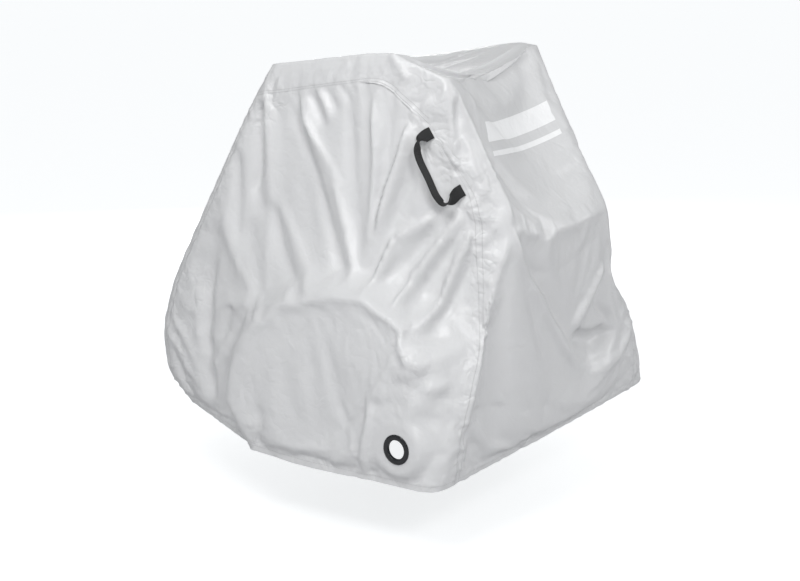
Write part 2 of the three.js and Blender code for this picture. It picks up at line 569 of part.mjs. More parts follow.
const cover = new THREE.Group();
function addMesh(name, geometry, material) {
  const mesh = new THREE.Mesh(geometry, material);
  mesh.name = name;
  cover.add(mesh);
}
const nearWithHole = toSolid(cutPanel(NEAR)).subtract(toSolid(eyeletCutter()));
addMesh(CENTRE, cutPanel(CENTRE), silver());
addMesh(NEAR, toGeometry(nearWithHole), silver());
addMesh(FAR, cutPanel(FAR), silver());
addMesh("webbing_handle", handleShape(), blackWebbing);
addMesh("eyelet_ring", eyeletShape(), blackPlastic);

cover.position.set(-REST.x, -REST.y, -REST.z);

export default cover;
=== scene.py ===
"""A fitted storage cover of thin silver-grey coated cloth, with a webbing handle and a plastic eyelet."""

import math
import random
from typing import NamedTuple

import bmesh
import bpy
import numpy as np
from mathutils import Matrix, Vector


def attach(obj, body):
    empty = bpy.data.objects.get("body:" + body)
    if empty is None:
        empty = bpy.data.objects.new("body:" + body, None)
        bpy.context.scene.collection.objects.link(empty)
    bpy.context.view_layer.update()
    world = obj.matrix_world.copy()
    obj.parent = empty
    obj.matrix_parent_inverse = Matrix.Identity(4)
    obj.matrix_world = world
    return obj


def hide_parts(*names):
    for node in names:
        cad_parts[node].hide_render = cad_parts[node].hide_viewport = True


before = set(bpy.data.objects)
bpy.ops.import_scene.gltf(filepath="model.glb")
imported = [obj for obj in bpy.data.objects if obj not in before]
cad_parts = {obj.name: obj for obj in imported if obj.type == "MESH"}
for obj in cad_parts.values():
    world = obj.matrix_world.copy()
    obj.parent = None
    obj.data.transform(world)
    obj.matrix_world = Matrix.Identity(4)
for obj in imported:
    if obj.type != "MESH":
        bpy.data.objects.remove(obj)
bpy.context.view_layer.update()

MM = 0.001

# The point under the roof that carries the cover, above the floor. It is the frame's origin.
REST = np.array([30.0, 0.0, 975.0])

# The photograph's width and the camera that took it, from the floor and the outline.
PHOTO_WIDTH_PX = 800
FOCAL_PX = 1800
SENSOR_MM = 36
CAMERA_TURN = math.radians(37.18)
CAMERA_HEIGHT_ANGLE = math.radians(12.65)
CAMERA_PLACE = np.array([2275.0, -3186.0, 1337.0])

# How finely the cloth is divided before it is settled and refined.
SIDE_COLUMNS = 66
SIDE_ROWS = 69
ACROSS_COLUMNS = 50
BAND_ROWS = 7

CLOTH_THICK = 1.0

# The cover's outline in mm at eight levels from the roof's edge to the hem. Half widths are from
# the middle line, drop is how much lower the far side lies, and soft is how gently the cloth bends,
# in levels.
LEVELS = {
    #            edge  seam  upper shelf  arch  nose under  hem
    "front_x": (-283, -325, -380, -463, -566, -612, -600, -550),
    "front_half": (290, 300, 308, 316, 322, 322, 318, 300),
    "front_z": (966, 900, 805, 655, 475, 350, 245, 197),
    "side_x": (50, 35, 20, 5, 0, 0, -50, -165),
    "side_half": (294, 318, 342, 368, 398, 420, 432, 432),
    "side_z": (1015, 915, 800, 670, 515, 370, 240, 150),
    "near_x": (180, 214, 254, 305, 290, 286, 280, 266),
    "near_half": (270, 262, 248, 230, 280, 355, 402, 424),
    "near_z": (962, 866, 764, 670, 500, 350, 240, 152),
    "far_x": (35, 104, 180, 280, 284, 284, 279, 268),
    "far_half": (290, 278, 255, 216, 240, 345, 395, 418),
    "far_z": (984, 872, 765, 646, 500, 355, 255, 208),
    "drop": (24, 12, 6, 0, 0, 0, 0, 0),
    "soft": (0.10, 0.30, 0.40, 0.20, 0.35, 0.40, 0.40, 0.10),
}
HEM_LEVEL = len(LEVELS["soft"]) - 1

# Eight stations go round each level: 0 front middle, 1 near front corner, 2 near side, 3 near
# rear corner, 4 rear middle, then back along the far side to 8, the front middle again. This is
# how gently the cloth turns at each, in stations.
STATION_SOFT = (0.18, 0.16, 0.25, 0.11, 0.16, 0.12, 0.30, 0.16, 0.18)
STATIONS = len(STATION_SOFT) - 1
REAR_CORNER = 3
FRONT_BOW = 8
REAR_BOW = 4

# The round bulge low on each side: its middle, its radius, how far it stands from the middle line
# at its top and its foot, how it narrows towards the front below its middle, and how many
# stations it reaches each way.
BULGE_NEAR_X, BULGE_FAR_X, BULGE_Z = 0, -50, 255
BULGE_RADIUS, BULGE_FADE = 275, 55
BULGE_TOP_HALF, BULGE_LOW_HALF = 415, 440
BULGE_TUCK = 0.003
BULGE_SPAN, BULGE_SPAN_FADE = 0.98, 0.25
HEM_START, HEM_HEIGHT, HEM_DRAW_IN = 220, 70, 15

ROOF_SAG = 20

# Seams, as stations and levels.
FRONT_SEAM = 1.05
YOKE_STATIONS = (1.05, 1.5, 2.0, 2.3, 2.62)
YOKE_LEVELS = (1.0, 0.75, 0.55, 0.8, 1.2)
YOKE_SOFT = 0.12
REAR_SEAM_LEVELS = (1.2, 2.2, 3.1, 4.4, 7.0)
REAR_SEAM_STATIONS = (2.62, 2.86, 2.82, 3.04, 3.18)
REAR_SEAM_SOFT = 0.3


class Fold(NamedTuple):
    """A fold along a path: half width and height in mm, up for a ridge and down for a valley.
    lean steepens its right side as the path runs, and crisp makes its line a crease."""
    path: tuple
    width: float
    height: float
    lean: float = 0.0
    crisp: float = 0.3


# Folds in the walls, with paths of (station, level).
WALL_FOLDS = {
    "front pleat": Fold(((1.15, 1.1), (1.20, 1.7), (1.31, 2.4), (1.35, 2.9)), 11, -21, -0.4, 0.6),
    "beside the pleat": Fold(((1.08, 0.5), (1.26, 1.7), (1.45, 2.9), (1.62, 4.2)), 12, 7, 0.2, 0.5),
    "long valley": Fold(((1.31, 1.0), (1.53, 1.8), (1.71, 2.4), (1.93, 3.4), (2.07, 3.8)),
                        14, -13, -0.3, 0.6),
    "long valley's lip": Fold(((1.37, 0.9), (1.60, 1.75), (1.80, 2.3), (2.01, 3.4), (2.10, 3.8)),
                              11, 13, 0.4, 0.8),
    "short valley": Fold(((1.44, 2.8), (1.60, 3.4), (1.80, 4.0)), 13, -10, -0.2, 0.5),
    "short valley's lip": Fold(((1.50, 2.85), (1.68, 3.35), (1.89, 4.0)), 10, 11, 0.4, 0.8),
    "gather one": Fold(((1.46, 0.82), (1.54, 1.1), (1.66, 1.55)), 8, -12, 0.3, 0.7),
    "gather two": Fold(((1.57, 0.75), (1.64, 0.95), (1.72, 1.25)), 7, -10, 0.3, 0.7),
    "gather three": Fold(((1.37, 0.85), (1.42, 1.15), (1.50, 1.5)), 7, -9, -0.2, 0.7),
    "gather four": Fold(((1.67, 0.68), (1.75, 0.85), (1.80, 1.1)), 6, -8, 0.3, 0.7),
    "gather one's lip": Fold(((1.52, 0.8), (1.60, 1.05), (1.70, 1.45)), 7, 8, 0.3, 0.8),
    "wide dip": Fold(((1.77, 0.9), (1.96, 2.5), (2.05, 3.4)), 18, -9, 0.2, 0.3),
    "first rib": Fold(((1.99, 0.9), (2.09, 2.0), (2.12, 3.5)), 13, 8, 0.2, 0.6),
    "narrow dip": Fold(((2.17, 1.0), (2.17, 2.0), (2.16, 2.8)), 11, -9, 0.1, 0.4),
    "second rib": Fold(((2.38, 1.2), (2.33, 1.75), (2.24, 2.4), (2.16, 3.25)), 13, 18, 0.3, 0.8),
    "under the handle": Fold(((2.45, 1.9), (2.37, 2.45), (2.24, 3.1)), 11, -5, 0.2, 0.5),
    "first drag": Fold(((2.58, 2.8), (2.30, 3.2), (2.22, 3.8)), 12, 18, 0.3, 0.9),
    "first drag's dip": Fold(((2.58, 3.05), (2.39, 3.4), (2.26, 3.8)), 11, -12, 0.1, 0.5),
    "second drag": Fold(((2.74, 2.75), (2.60, 3.2), (2.47, 3.65), (2.46, 4.0)), 12, 19, 0.3, 0.9),
    "second drag's dip": Fold(((2.70, 3.15), (2.55, 3.75), (2.57, 4.1)), 12, -13, 0.1, 0.5),
    "third drag": Fold(((2.79, 2.95), (2.71, 3.6), (2.66, 4.2)), 12, 20, 0.3, 0.9),
    "third drag's dip": Fold(((2.83, 3.4), (2.75, 3.9), (2.72, 4.2)), 11, -13, 0.1, 0.5),
    "pocket": Fold(((2.62, 4.28), (2.82, 4.3)), 14, -26, 0.5, 0.5),
    "pocket's curl": Fold(((2.60, 4.3), (2.70, 4.62), (2.80, 4.55)), 9, 14, -0.5, 0.6),
    "lower curl": Fold(((2.62, 4.8), (2.72, 4.75), (2.80, 4.6)), 9, 9, -0.3, 0.6),
    "rumple": Fold(((2.80, 5.0), (2.90, 4.9)), 16, 9, 0.0, 0.4),
    "arch rim": Fold(((1.38, 5.5), (1.58, 4.85), (1.75, 4.2), (2.02, 4.0), (2.25, 3.95), (2.46, 4.1),
                      (2.64, 4.25), (2.74, 4.4)), 11, 9, 0.3, 0.5),
    "nose crease": Fold(((1.24, 3.6), (1.31, 4.9), (1.35, 5.5), (1.40, 6.3)), 12, -30, -0.4, 0.6),
    "nose strip": Fold(((1.20, 4.1), (1.25, 4.8), (1.32, 5.6)), 9, 9, 0.3, 0.6),
    "step before the bulge": Fold(((1.43, 4.3), (1.40, 4.95)), 10, -10, 0.3, 0.6),
    "left facet": Fold(((1.45, 4.8), (1.37, 5.6)), 9, 8, 0.3, 0.7),
    "middle facet": Fold(((1.56, 4.1), (1.67, 4.5)), 9, 7, 0.2, 0.6),
    "peak": Fold(((1.73, 3.8), (1.80, 4.1)), 9, 11, -0.3, 0.6),
    "bulge dent": Fold(((2.14, 5.5), (2.31, 5.9)), 14, -9, 0.2, 0.5),
    "bulge crease": Fold(((2.62, 4.4), (2.53, 4.8), (2.43, 5.3), (2.50, 6.2), (2.58, 6.8)), 10, 8, -0.3, 0.7),
    "second bulge crease": Fold(((2.27, 5.7), (2.45, 6.4)), 9, 5, -0.2, 0.7),
    "bulge band": Fold(((1.73, 5.8), (1.88, 6.9)), 16, -8, 0.0, 0.3),
    "front dip": Fold(((1.11, 2.1), (1.36, 3.5)), 16, -7, 0.0, 0.3),
    "second front dip": Fold(((1.37, 3.1), (1.45, 3.6)), 12, -6, 0.0, 0.4),
    "nose ridge one": Fold(((1.03, 4.9), (1.17, 5.4), (1.23, 5.9)), 9, 8, 0.2, 0.6),
    "nose ridge two": Fold(((1.07, 4.6), (1.21, 5.2), (1.30, 5.8)), 9, 7, 0.2, 0.6),
    "nose dip": Fold(((1.13, 5.0), (1.20, 5.5)), 8, -7, 0.0, 0.5),
    "near corner ridge": Fold(((3.00, 0.0), (3.16, 1.2), (3.18, 2.2), (3.08, 3.0)), 11, 12, 0.3, 0.9),
    "second corner ridge": Fold(((2.99, 0.15), (2.87, 1.0), (2.76, 1.9)), 9, 6, 0.2, 0.6),
    "beside the corner": Fold(((3.06, 0.4), (2.95, 1.0), (2.86, 1.8)), 11, -12, 0.2, 0.5),
    "print corner ridge": Fold(((3.31, 0.2), (3.34, 0.7)), 9, 8, 0.2, 0.6),
    "corner's side dip": Fold(((2.92, 2.4), (3.02, 2.7)), 10, -7, 0.0, 0.4),
    "corner fan left": Fold(((3.06, 3.1), (3.02, 3.5), (3.02, 4.0), (3.08, 4.9), (3.12, 5.8)),
                            10, 13, 0.2, 0.8),
    "corner fan right": Fold(((3.09, 3.0), (3.26, 3.4), (3.71, 4.0), (3.94, 4.5), (4.25, 5.4)),
                             13, 24, -0.4, 0.9),
    "fan's second crease": Fold(((3.50, 3.75), (3.80, 4.35)), 8, 6, -0.2, 0.7),
    "fan side valley": Fold(((2.98, 3.05), (2.88, 3.4)), 9, -8, 0.0, 0.5),
    "shelf": Fold(((3.10, 3.03), (3.69, 3.22), (4.90, 3.0)), 10, 10, 0.2, 0.9),
    "under the shelf": Fold(((3.30, 3.6), (4.00, 3.7), (4.70, 3.4)), 20, -7, 0.0, 0.2),
    "far pocket ridge": Fold(((4.85, 3.75), (4.40, 4.3), (4.13, 4.6)), 12, 18, 0.3, 0.8),
    "far pocket": Fold(((4.18, 4.70), (4.45, 4.88), (4.70, 4.92)), 16, -36, -0.4, 0.6),
    "far waist": Fold(((4.80, 3.9), (4.60, 4.4), (4.70, 4.8)), 12, -12, 0.0, 0.5),
    "far curl": Fold(((4.88, 4.85), (4.84, 5.1), (4.68, 5.4), (4.28, 5.45)), 11, 16, 0.3, 0.7),
    "skirt crease": Fold(((3.07, 5.4), (3.96, 5.8)), 10, -7, 0.3, 0.6),
    "seam crease": Fold(((4.65, 5.6), (4.65, 6.3)), 9, 6, 0.2, 0.6),
    "rear dent": Fold(((3.35, 1.7), (3.66, 2.5)), 22, -6, 0.0, 0.2),
    "top corner dip": Fold(((4.92, 0.3), (4.84, 1.1)), 16, -8, 0.0, 0.3),
    "bar puckers": Fold(((1.76, 0.05), (1.74, 0.5)), 7, -4, 0.0, 0.5),
    "bar fold": Fold(((2.06, 0.0), (2.40, 0.45)), 9, 8, 0.3, 0.6),
    "corner drag": Fold(((2.98, 0.05), (2.62, 1.15)), 10, 7, 0.3, 0.6),
    "far valley": Fold(((6.60, 1.2), (6.30, 2.4), (6.10, 3.6)), 15, -12, 0.3, 0.5),
    "far front valley": Fold(((6.80, 1.5), (6.60, 3.0), (6.45, 4.2)), 14, -12, 0.3, 0.5),
    "far rear rib": Fold(((5.60, 1.4), (5.80, 2.4), (5.84, 3.4)), 14, 11, 0.3, 0.6),
    "far second rib": Fold(((6.05, 0.9), (6.00, 2.2), (5.98, 3.2)), 12, 8, -0.3, 0.6),
    "far drag": Fold(((5.20, 2.6), (5.45, 3.3), (5.60, 4.0)), 13, 12, -0.3, 0.6),
    "far second drag": Fold(((5.25, 3.1), (5.35, 3.7), (5.40, 4.3)), 12, 9, -0.3, 0.6),
    "far bulge rim": Fold(((6.55, 5.3), (6.42, 4.9), (6.20, 4.2), (5.90, 4.0), (5.55, 4.2)),
                          12, 9, -0.3, 0.5),
    "front long valley": Fold(((0.45, 0.6), (0.40, 2.4), (0.55, 4.2)), 16, -11, 0.3, 0.4),
    "front cross drag": Fold(((0.85, 1.0), (0.20, 3.0), (-0.40, 4.6)), 15, 10, 0.3, 0.6),
    "front far valley": Fold(((7.50, 0.8), (7.60, 2.6), (7.45, 4.4)), 16, -11, -0.3, 0.4),
    "front low dip": Fold(((0.60, 5.2), (0.00, 5.6), (-0.50, 5.2)), 16, -9, 0.2, 0.4),
}

# Folds in the roof, with paths of (share from front to rear, share from near to far).
ROOF_FOLDS = {
    "cross bar": Fold(((0.50, 0.00), (0.66, 0.35), (0.98, 0.98)), 16, 10, 0.3, 0.4),
    "behind the bar": Fold(((0.70, 0.06), (0.95, 0.45)), 24, -10, 0.0, 0.2),
    "roof puckers": Fold(((0.30, 0.02), (0.36, 0.25)), 12, -6, 0.2, 0.5),
    "roof drag": Fold(((0.05, 0.10), (0.45, 0.55), (0.60, 0.90)), 16, 6, 0.2, 0.6),
}


def ramp(x, soft):
    """0 before the bend, x after it, with a round turn between."""
    return np.where(x <= -soft, 0.0, np.where(x >= soft, x, (x + soft) ** 2 / (4 * soft)))


def ease(x):
    """0 up to 0 and 1 from 1 on, with a gentle start and end between."""
    t = np.clip(x, 0, 1)
    return t * t * (3 - 2 * t)


def mix(a, b, t):
    return a + (b - a) * t


def bent(knots, values, softs, t):
    """Straight lines through the values at the knots, with each bend softened."""
    slope = (values[1] - values[0]) / (knots[1] - knots[0])
    out = values[0] + slope * (t - knots[0])
    for k in range(1, len(knots) - 1):
        after = (values[k + 1] - values[k]) / (knots[k + 1] - knots[k])
        out = out + (after - slope) * ramp(t - knots[k], softs[k])
        slope = after
    return out


def corners_at(level):
    """The outline's corner points at each level, and the first again at the end."""
    knots = range(HEM_LEVEL + 1)
    at = {name: bent(knots, values, LEVELS["soft"], level) for name, values in LEVELS.items()}
    front = (at["front_x"] - FRONT_BOW, 0 * level, at["front_z"] - at["drop"] / 2)
    near = (at["near_x"], -at["near_half"], at["near_z"])
    far = (at["far_x"], at["far_half"], at["far_z"])
    rear = tuple((n + f) / 2 for n, f in zip(near, far))
    return (
        front,
        (at["front_x"], -at["front_half"], at["front_z"]),
        (at["side_x"], -at["side_half"], at["side_z"]),
        near,
        (rear[0] + REAR_BOW, rear[1], rear[2]),
        far,
        (at["side_x"] - (near[0] - far[0]) / 2, at["side_half"], at["side_z"] - at["drop"]),
        (at["front_x"], at["front_half"], at["front_z"] - at["drop"]),
        front,
    )


def wall(station, level):
    """Points on the walls before any fold, in mm above the floor."""
    station, level = np.broadcast_arrays(np.asarray(station, float), np.asarray(level, float))
    corners = corners_at(level)
    knots = range(STATIONS + 1)
    x, y, z = (bent(knots, [c[axis] for c in corners], STATION_SOFT, station) for axis in range(3))
    near = y < 0
    tuck = 1 + BULGE_TUCK * np.maximum(BULGE_Z - z, 0) * (x < 0)
    bulge_x = np.where(near, BULGE_NEAR_X, BULGE_FAR_X)
    away = np.hypot((x - bulge_x) * tuck, np.maximum(z - BULGE_Z, 0))
    weight = ease((BULGE_RADIUS + BULGE_FADE - away) / BULGE_FADE)
    half = mix(BULGE_TOP_HALF, BULGE_LOW_HALF, ease((BULGE_Z + BULGE_RADIUS - z) / BULGE_RADIUS))
    half = half - HEM_DRAW_IN * ease((HEM_START - z) / HEM_HEIGHT)
    from_side = np.minimum(np.abs(station - 2), np.abs(station - (STATIONS - 2)))
    push = np.maximum(half - np.abs(y), 0) * weight * ease((BULGE_SPAN - from_side) / BULGE_SPAN_FADE)
    return np.stack([x, np.where(near, y - push, y + push), z], -1)


def front_station(share):
    """The station at a share of the way across the front, from the near corner to the far one."""
    near, far = mix(FRONT_SEAM, 0, 2 * share), mix(STATIONS, STATIONS - FRONT_SEAM, 2 * share - 1)
    return np.where(share < 0.5, near, far)


def roof(along, across):
    """Points on the roof: a patch stretched between the four parts of the roof's edge."""
    along, across = np.broadcast_arrays(np.asarray(along, float), np.asarray(across, float))
    near_station = mix(FRONT_SEAM, REAR_CORNER, along)
    near, far = wall(near_station, 0), wall(STATIONS - near_station, 0)
    front = wall(front_station(across), 0)
    rear = wall(mix(REAR_CORNER, STATIONS - REAR_CORNER, across), 0)
    a, b = along[..., None], across[..., None]
    near_corners = (FRONT_SEAM, REAR_CORNER)
    far_corners = (STATIONS - FRONT_SEAM, STATIONS - REAR_CORNER)
    corners = [wall(station, 0) for station in near_corners + far_corners]
    shares = ((1 - a) * (1 - b), a * (1 - b), (1 - a) * b, a * b)
    points = (1 - b) * near + b * far + (1 - a) * front + a * rear
    points = points - sum(share * corner for share, corner in zip(shares, corners))
    points[..., 2] -= ROOF_SAG * np.sin(math.pi * along) * np.sin(math.pi * across)
    return points


def yoke_level(station):
    """How low the yoke seam lies at a station of the near side."""
    return bent(YOKE_STATIONS, YOKE_LEVELS, [YOKE_SOFT] * len(YOKE_LEVELS), station)


YOKE_END, YOKE_END_LEVEL = YOKE_STATIONS[-1], YOKE_LEVELS[-1]


def rear_seam(level):
    """The station of the near rear seam, which starts at the roof's corner."""
    lower = bent(REAR_SEAM_LEVELS, REAR_SEAM_STATIONS, [REAR_SEAM_SOFT] * len(REAR_SEAM_LEVELS), level)
    return np.where(level < YOKE_END_LEVEL, mix(REAR_CORNER, YOKE_END, level / YOKE_END_LEVEL), lower)


ALL_ROWS = BAND_ROWS + SIDE_ROWS


def row_level(seam_level, row):
    """The level of a row: the band's rows above the yoke seam, then the rows down to the hem."""
    return np.where(
        row < BAND_ROWS,
        seam_level * row / BAND_ROWS,
        mix(seam_level, HEM_LEVEL, (row - BAND_ROWS) / SIDE_ROWS),
    )


def placed(station, level):
    """Points on the walls, with the stations and levels that they are at."""
    return wall(station, level), np.stack([station, level], -1)


def side_place(column, row, far):
    share = column / SIDE_COLUMNS
    level = row_level(yoke_level(mix(FRONT_SEAM, YOKE_END, share)), row)
    station = mix(FRONT_SEAM, rear_seam(row_level(YOKE_END_LEVEL, row)), share)
    return placed(STATIONS - station if far else station, level)


def near_place(column, row):
    return side_place(column, row, False)


def far_place(column, row):
    return side_place(column, row, True)


def front_place(column, row):
    return placed(front_station(column / ACROSS_COLUMNS), row_level(YOKE_LEVELS[0], row))


def rear_place(column, row):
    level = row_level(YOKE_END_LEVEL, row)
    start = rear_seam(level)
    return placed(mix(start, STATIONS - start, column / ACROSS_COLUMNS), level)


def roof_place(column, row):
    return roof(row / SIDE_COLUMNS, column / ACROSS_COLUMNS), np.stack([0 * row, 0 * row - 1], -1)


# The panels of cloth, each under the name of the part that it replaces.
NEAR, FAR, CENTRE = range(3)
PANELS = {
    NEAR: "near_side_panel",
    FAR: "far_side_panel",
    CENTRE: "centre_panel",
}


class Patch(NamedTuple):
    """A grid of cloth. Its cut is its width and length in metres, and cut_foot is how far up the
    cut its lower edge lies, so that the roof's cut starts above those of the walls."""
    columns: int
    rows: int
    place: object
    panel: int
    turned: bool
    cut: tuple
    cut_foot: float


WALL_CUT, ROOF_CUT = (0.62, 0.90), (0.58, 0.46)
PATCHES = (
    Patch(SIDE_COLUMNS, ALL_ROWS, near_place, NEAR, True, WALL_CUT, 0),
    Patch(SIDE_COLUMNS, ALL_ROWS, far_place, FAR, False, WALL_CUT, 0),
    Patch(ACROSS_COLUMNS, ALL_ROWS, front_place, CENTRE, False, WALL_CUT, 0),
    Patch(ACROSS_COLUMNS, ALL_ROWS, rear_place, CENTRE, True, WALL_CUT, 0),
    Patch(ACROSS_COLUMNS, SIDE_COLUMNS, roof_place, CENTRE, True, ROOF_CUT, WALL_CUT[1]),
)
WELD = 0.02


def add_patch(skin, patch):
    """A grid moved to its place on the cover, with its stations and its cut kept as UV maps. The cut
    is measured in metres from the patch's middle line and up from its foot."""
    grid = bmesh.new()
    bmesh.ops.create_grid(grid, x_segments=patch.columns, y_segments=patch.rows, size=0.5)
    share = np.array([v.co for v in grid.verts])[:, :2] + 0.5
    column, row = np.round(share * (patch.columns, patch.rows)).T
    points, stations = patch.place(column, row)
    for vert, point in zip(grid.verts, points):
        vert.co = point
    grid.verts.index_update()
    panel_layer = grid.faces.layers.int.new("panel")
    cut_layer = grid.loops.layers.uv.new("cut")
    place_layer = grid.loops.layers.uv.new("place")
    for face in grid.faces:
        in_band = min(row[v.index] for v in face.verts) < BAND_ROWS - 0.5
        face[panel_layer] = CENTRE if in_band else patch.panel
        for loop in face.loops:
            k = loop.vert.index
            across, up = share[k][0] - 0.5, 1 - share[k][1]
            loop[cut_layer].uv = (across * patch.cut[0], up * patch.cut[1] + patch.cut_foot)
            loop[place_layer].uv = stations[k]
    if patch.turned:
        bmesh.ops.reverse_faces(grid, faces=grid.faces[:])
    mesh = bpy.data.meshes.new("patch")
    grid.to_mesh(mesh)
    grid.free()
    skin.from_mesh(mesh)
    bpy.data.meshes.remove(mesh)


def whole_skin():
    """One welded skin of the whole cover, each face marked with the panel that it belongs to."""
    skin = bmesh.new()
    skin.faces.layers.int.new("panel")
    skin.loops.layers.uv.new("cut")
    skin.loops.layers.uv.new("place")
    for patch in PATCHES:
        add_patch(skin, patch)
    bmesh.ops.remove_doubles(skin, verts=skin.verts[:], dist=WELD)
    skin.normal_update()
    return skin


def evened(values, edges, passes):
    """Each value moved towards those of its neighbours, so that a sharp corner turns gently."""
    for _ in range(passes):
        sums = values.copy()
        count = np.ones(len(values))
        for a, b in ((0, 1), (1, 0)):
            np.add.at(sums, edges[:, a], values[edges[:, b]])
            np.add.at(count, edges[:, a], 1)
        values = sums / count[:, None]
    return values


def unit(vectors):
    return vectors / np.maximum(np.linalg.norm(vectors, axis=-1, keepdims=True), 1e-9)


# The steps between the points of a fold's path, the share of its length over which it fades in
# at each end and with how much it starts, and how many half widths it reaches aside and fades over.
FOLD_STEPS = 8
FOLD_END_SHARE, FOLD_END_START = 0.22, 0.03
FOLD_REACH, FOLD_FADE = 3.2, 1.2
# How blunt the line of a crease is, in half widths, and how fast its sides fall.
CREASE_BLUNT, CREASE_FALL = 0.25, 1.3


def fold_line(path, place):
    """The fold's path as points on the cover, with steps between the path's own points."""
    places = np.array(path)
    steps = np.arange((len(places) - 1) * FOLD_STEPS + 1) / FOLD_STEPS
    first, second = (np.interp(steps, range(len(places)), places[:, k]) for k in (0, 1))
    if place is wall:
        first = first % STATIONS
    return place(first, second)


def nearest_on_line(points, normals, line):
    """Each point's distance from a line, the share of the line's length, and its side."""
    best = np.full(len(points), np.inf)
    share = np.zeros(len(points))
    side = np.zeros(len(points))
    steps = len(line) - 1
    for k in range(steps):
        run = line[k + 1] - line[k]
        t = np.clip((points - line[k]) @ run / max(run @ run, 1e-9), 0, 1)
        offset = points - (line[k] + t[:, None] * run)
        away = np.linalg.norm(offset, axis=1)
        closer = away < best
        best[closer] = away[closer]
        share[closer] = (k + t[closer]) / steps
        side[closer] = np.einsum("ij,ij->i", offset[closer], np.cross(run, normals[closer]))
    return best, share, np.sign(side)


def distance_to(points, path):
    """Each point's distance in mm from a path of (station, level) on the wall."""
    return nearest_on_line(points, points, fold_line(path, wall))[0]


def fold_profile(away, crisp):
    """A fold's cross section: 1 on its line and 0 far from it, rounder or more like a crease."""
    round_top = np.exp(-away ** 2)
    crease = np.exp(-CREASE_FALL * (np.hypot(away, CREASE_BLUNT) - CREASE_BLUNT))
    return mix(round_top, crease, crisp) * ease((FOLD_REACH - away) / FOLD_FADE)


def fold_height(points, normals, fold, place):
    """How far the fold moves each point along its normal."""
    line = fold_line(fold.path, place)
    reach = FOLD_REACH * fold.width * (1 + abs(fold.lean))
    low, high = line.min(0) - reach, line.max(0) + reach
    inside = np.all((points > low) & (points < high), axis=1)
    out = np.zeros(len(points))
    if not inside.any():
        return out
    away, share, side = nearest_on_line(points[inside], normals[inside], line)
    width = fold.width * (1 - fold.lean * side)
    ends = ease((np.minimum(share, 1 - share) + FOLD_END_START) / FOLD_END_SHARE)
    out[inside] = fold.height * ends * fold_profile(away / width, fold.crisp)
    return out


def skin_arrays(skin):
    skin.verts.index_update()
    skin.normal_update()
    points = np.array([v.co for v in skin.verts])
    normals = unit(np.array([v.normal for v in skin.verts]))
    edges = np.array([[v.index for v in e.verts] for e in skin.edges])
    return points, normals, edges


def move_skin(skin, points):
    for vert, point in zip(skin.verts, points):
        vert.co = point


def fold_skin(skin, groups, passes):
    """Moves the skin along its evened normals by the height of every fold in the groups."""
    points, normals, edges = skin_arrays(skin)
    directions = unit(evened(normals, edges, passes))
    height = np.zeros(len(points))
    for folds, place in groups:
        for fold in folds:
            height += fold_height(points, directions, fold, place)
    move_skin(skin, points + directions * height[:, None])


class Spot(NamedTuple):
    """A place on the wall with the ways along, down and out of the cloth."""
    centre: np.ndarray
    along: np.ndarray
    down: np.ndarray
    out: np.ndarray


# A small step, in stations or levels, by which the cloth's directions are found.
PROBE = 0.02


def around(station, level):
    """A point on the wall, and the points one small step beside it and below it."""
    return wall(np.array([station, station + PROBE, station]) % STATIONS, [level, level, level + PROBE])


def lengths_at(station, level):
    """How many mm of cloth one station and one level take up at a place."""
    here, beside, below = around(station, level)
    return np.linalg.norm(beside - here) / PROBE, np.linalg.norm(below - here) / PROBE


def spot_at(station, level):
    centre, beside, below = around(station, level)
    along = unit(beside - centre)
    out = unit(np.cross(below - centre, along))
    return Spot(centre, along, np.cross(along, out), out)


# Where the eyelet is set and where the handle's ends are sewn, and how flat the cloth lies there.
EYELET_PLACE = (2.72, 6.08)
HANDLE_TOP, HANDLE_FOOT = (2.63, 1.27), (2.80, 2.28)
EYELET_SPOT = spot_at(*EYELET_PLACE)
HANDLE_SPOTS = [spot_at(*HANDLE_TOP), spot_at(*HANDLE_FOOT)]
FLAT_SPOTS = (
    # spot, flat radius, fade, greatest height
    (EYELET_SPOT, 44, 26, 40),
    (HANDLE_SPOTS[0], 22, 16, 14),
    (HANDLE_SPOTS[1], 22, 16, 14),
)


def flatten_spots(skin):
    """Presses the cloth flat at each flat spot."""
    points, _, _ = skin_arrays(skin)
    for spot, flat, fade, high in FLAT_SPOTS:
        offset = points - spot.centre
        lift = offset @ spot.out
        away = np.sqrt(np.maximum((offset ** 2).sum(1) - lift ** 2, 0))
        weight = ease((flat + fade - away) / fade) * ease((2 * high - np.abs(lift)) / high)
        points = points - spot.out * (lift * weight)[:, None]
    move_skin(skin, points)


def new_object(name, data):
    made = bpy.data.objects.new(name, data)
    bpy.context.scene.collection.objects.link(made)
    return made


def new_piece(name, shape):
    """An object from an edited mesh, which is used up."""
    mesh = bpy.data.meshes.new(name)
    shape.to_mesh(mesh)
    shape.free()
    mesh.shade_smooth()
    return new_object(name, mesh)


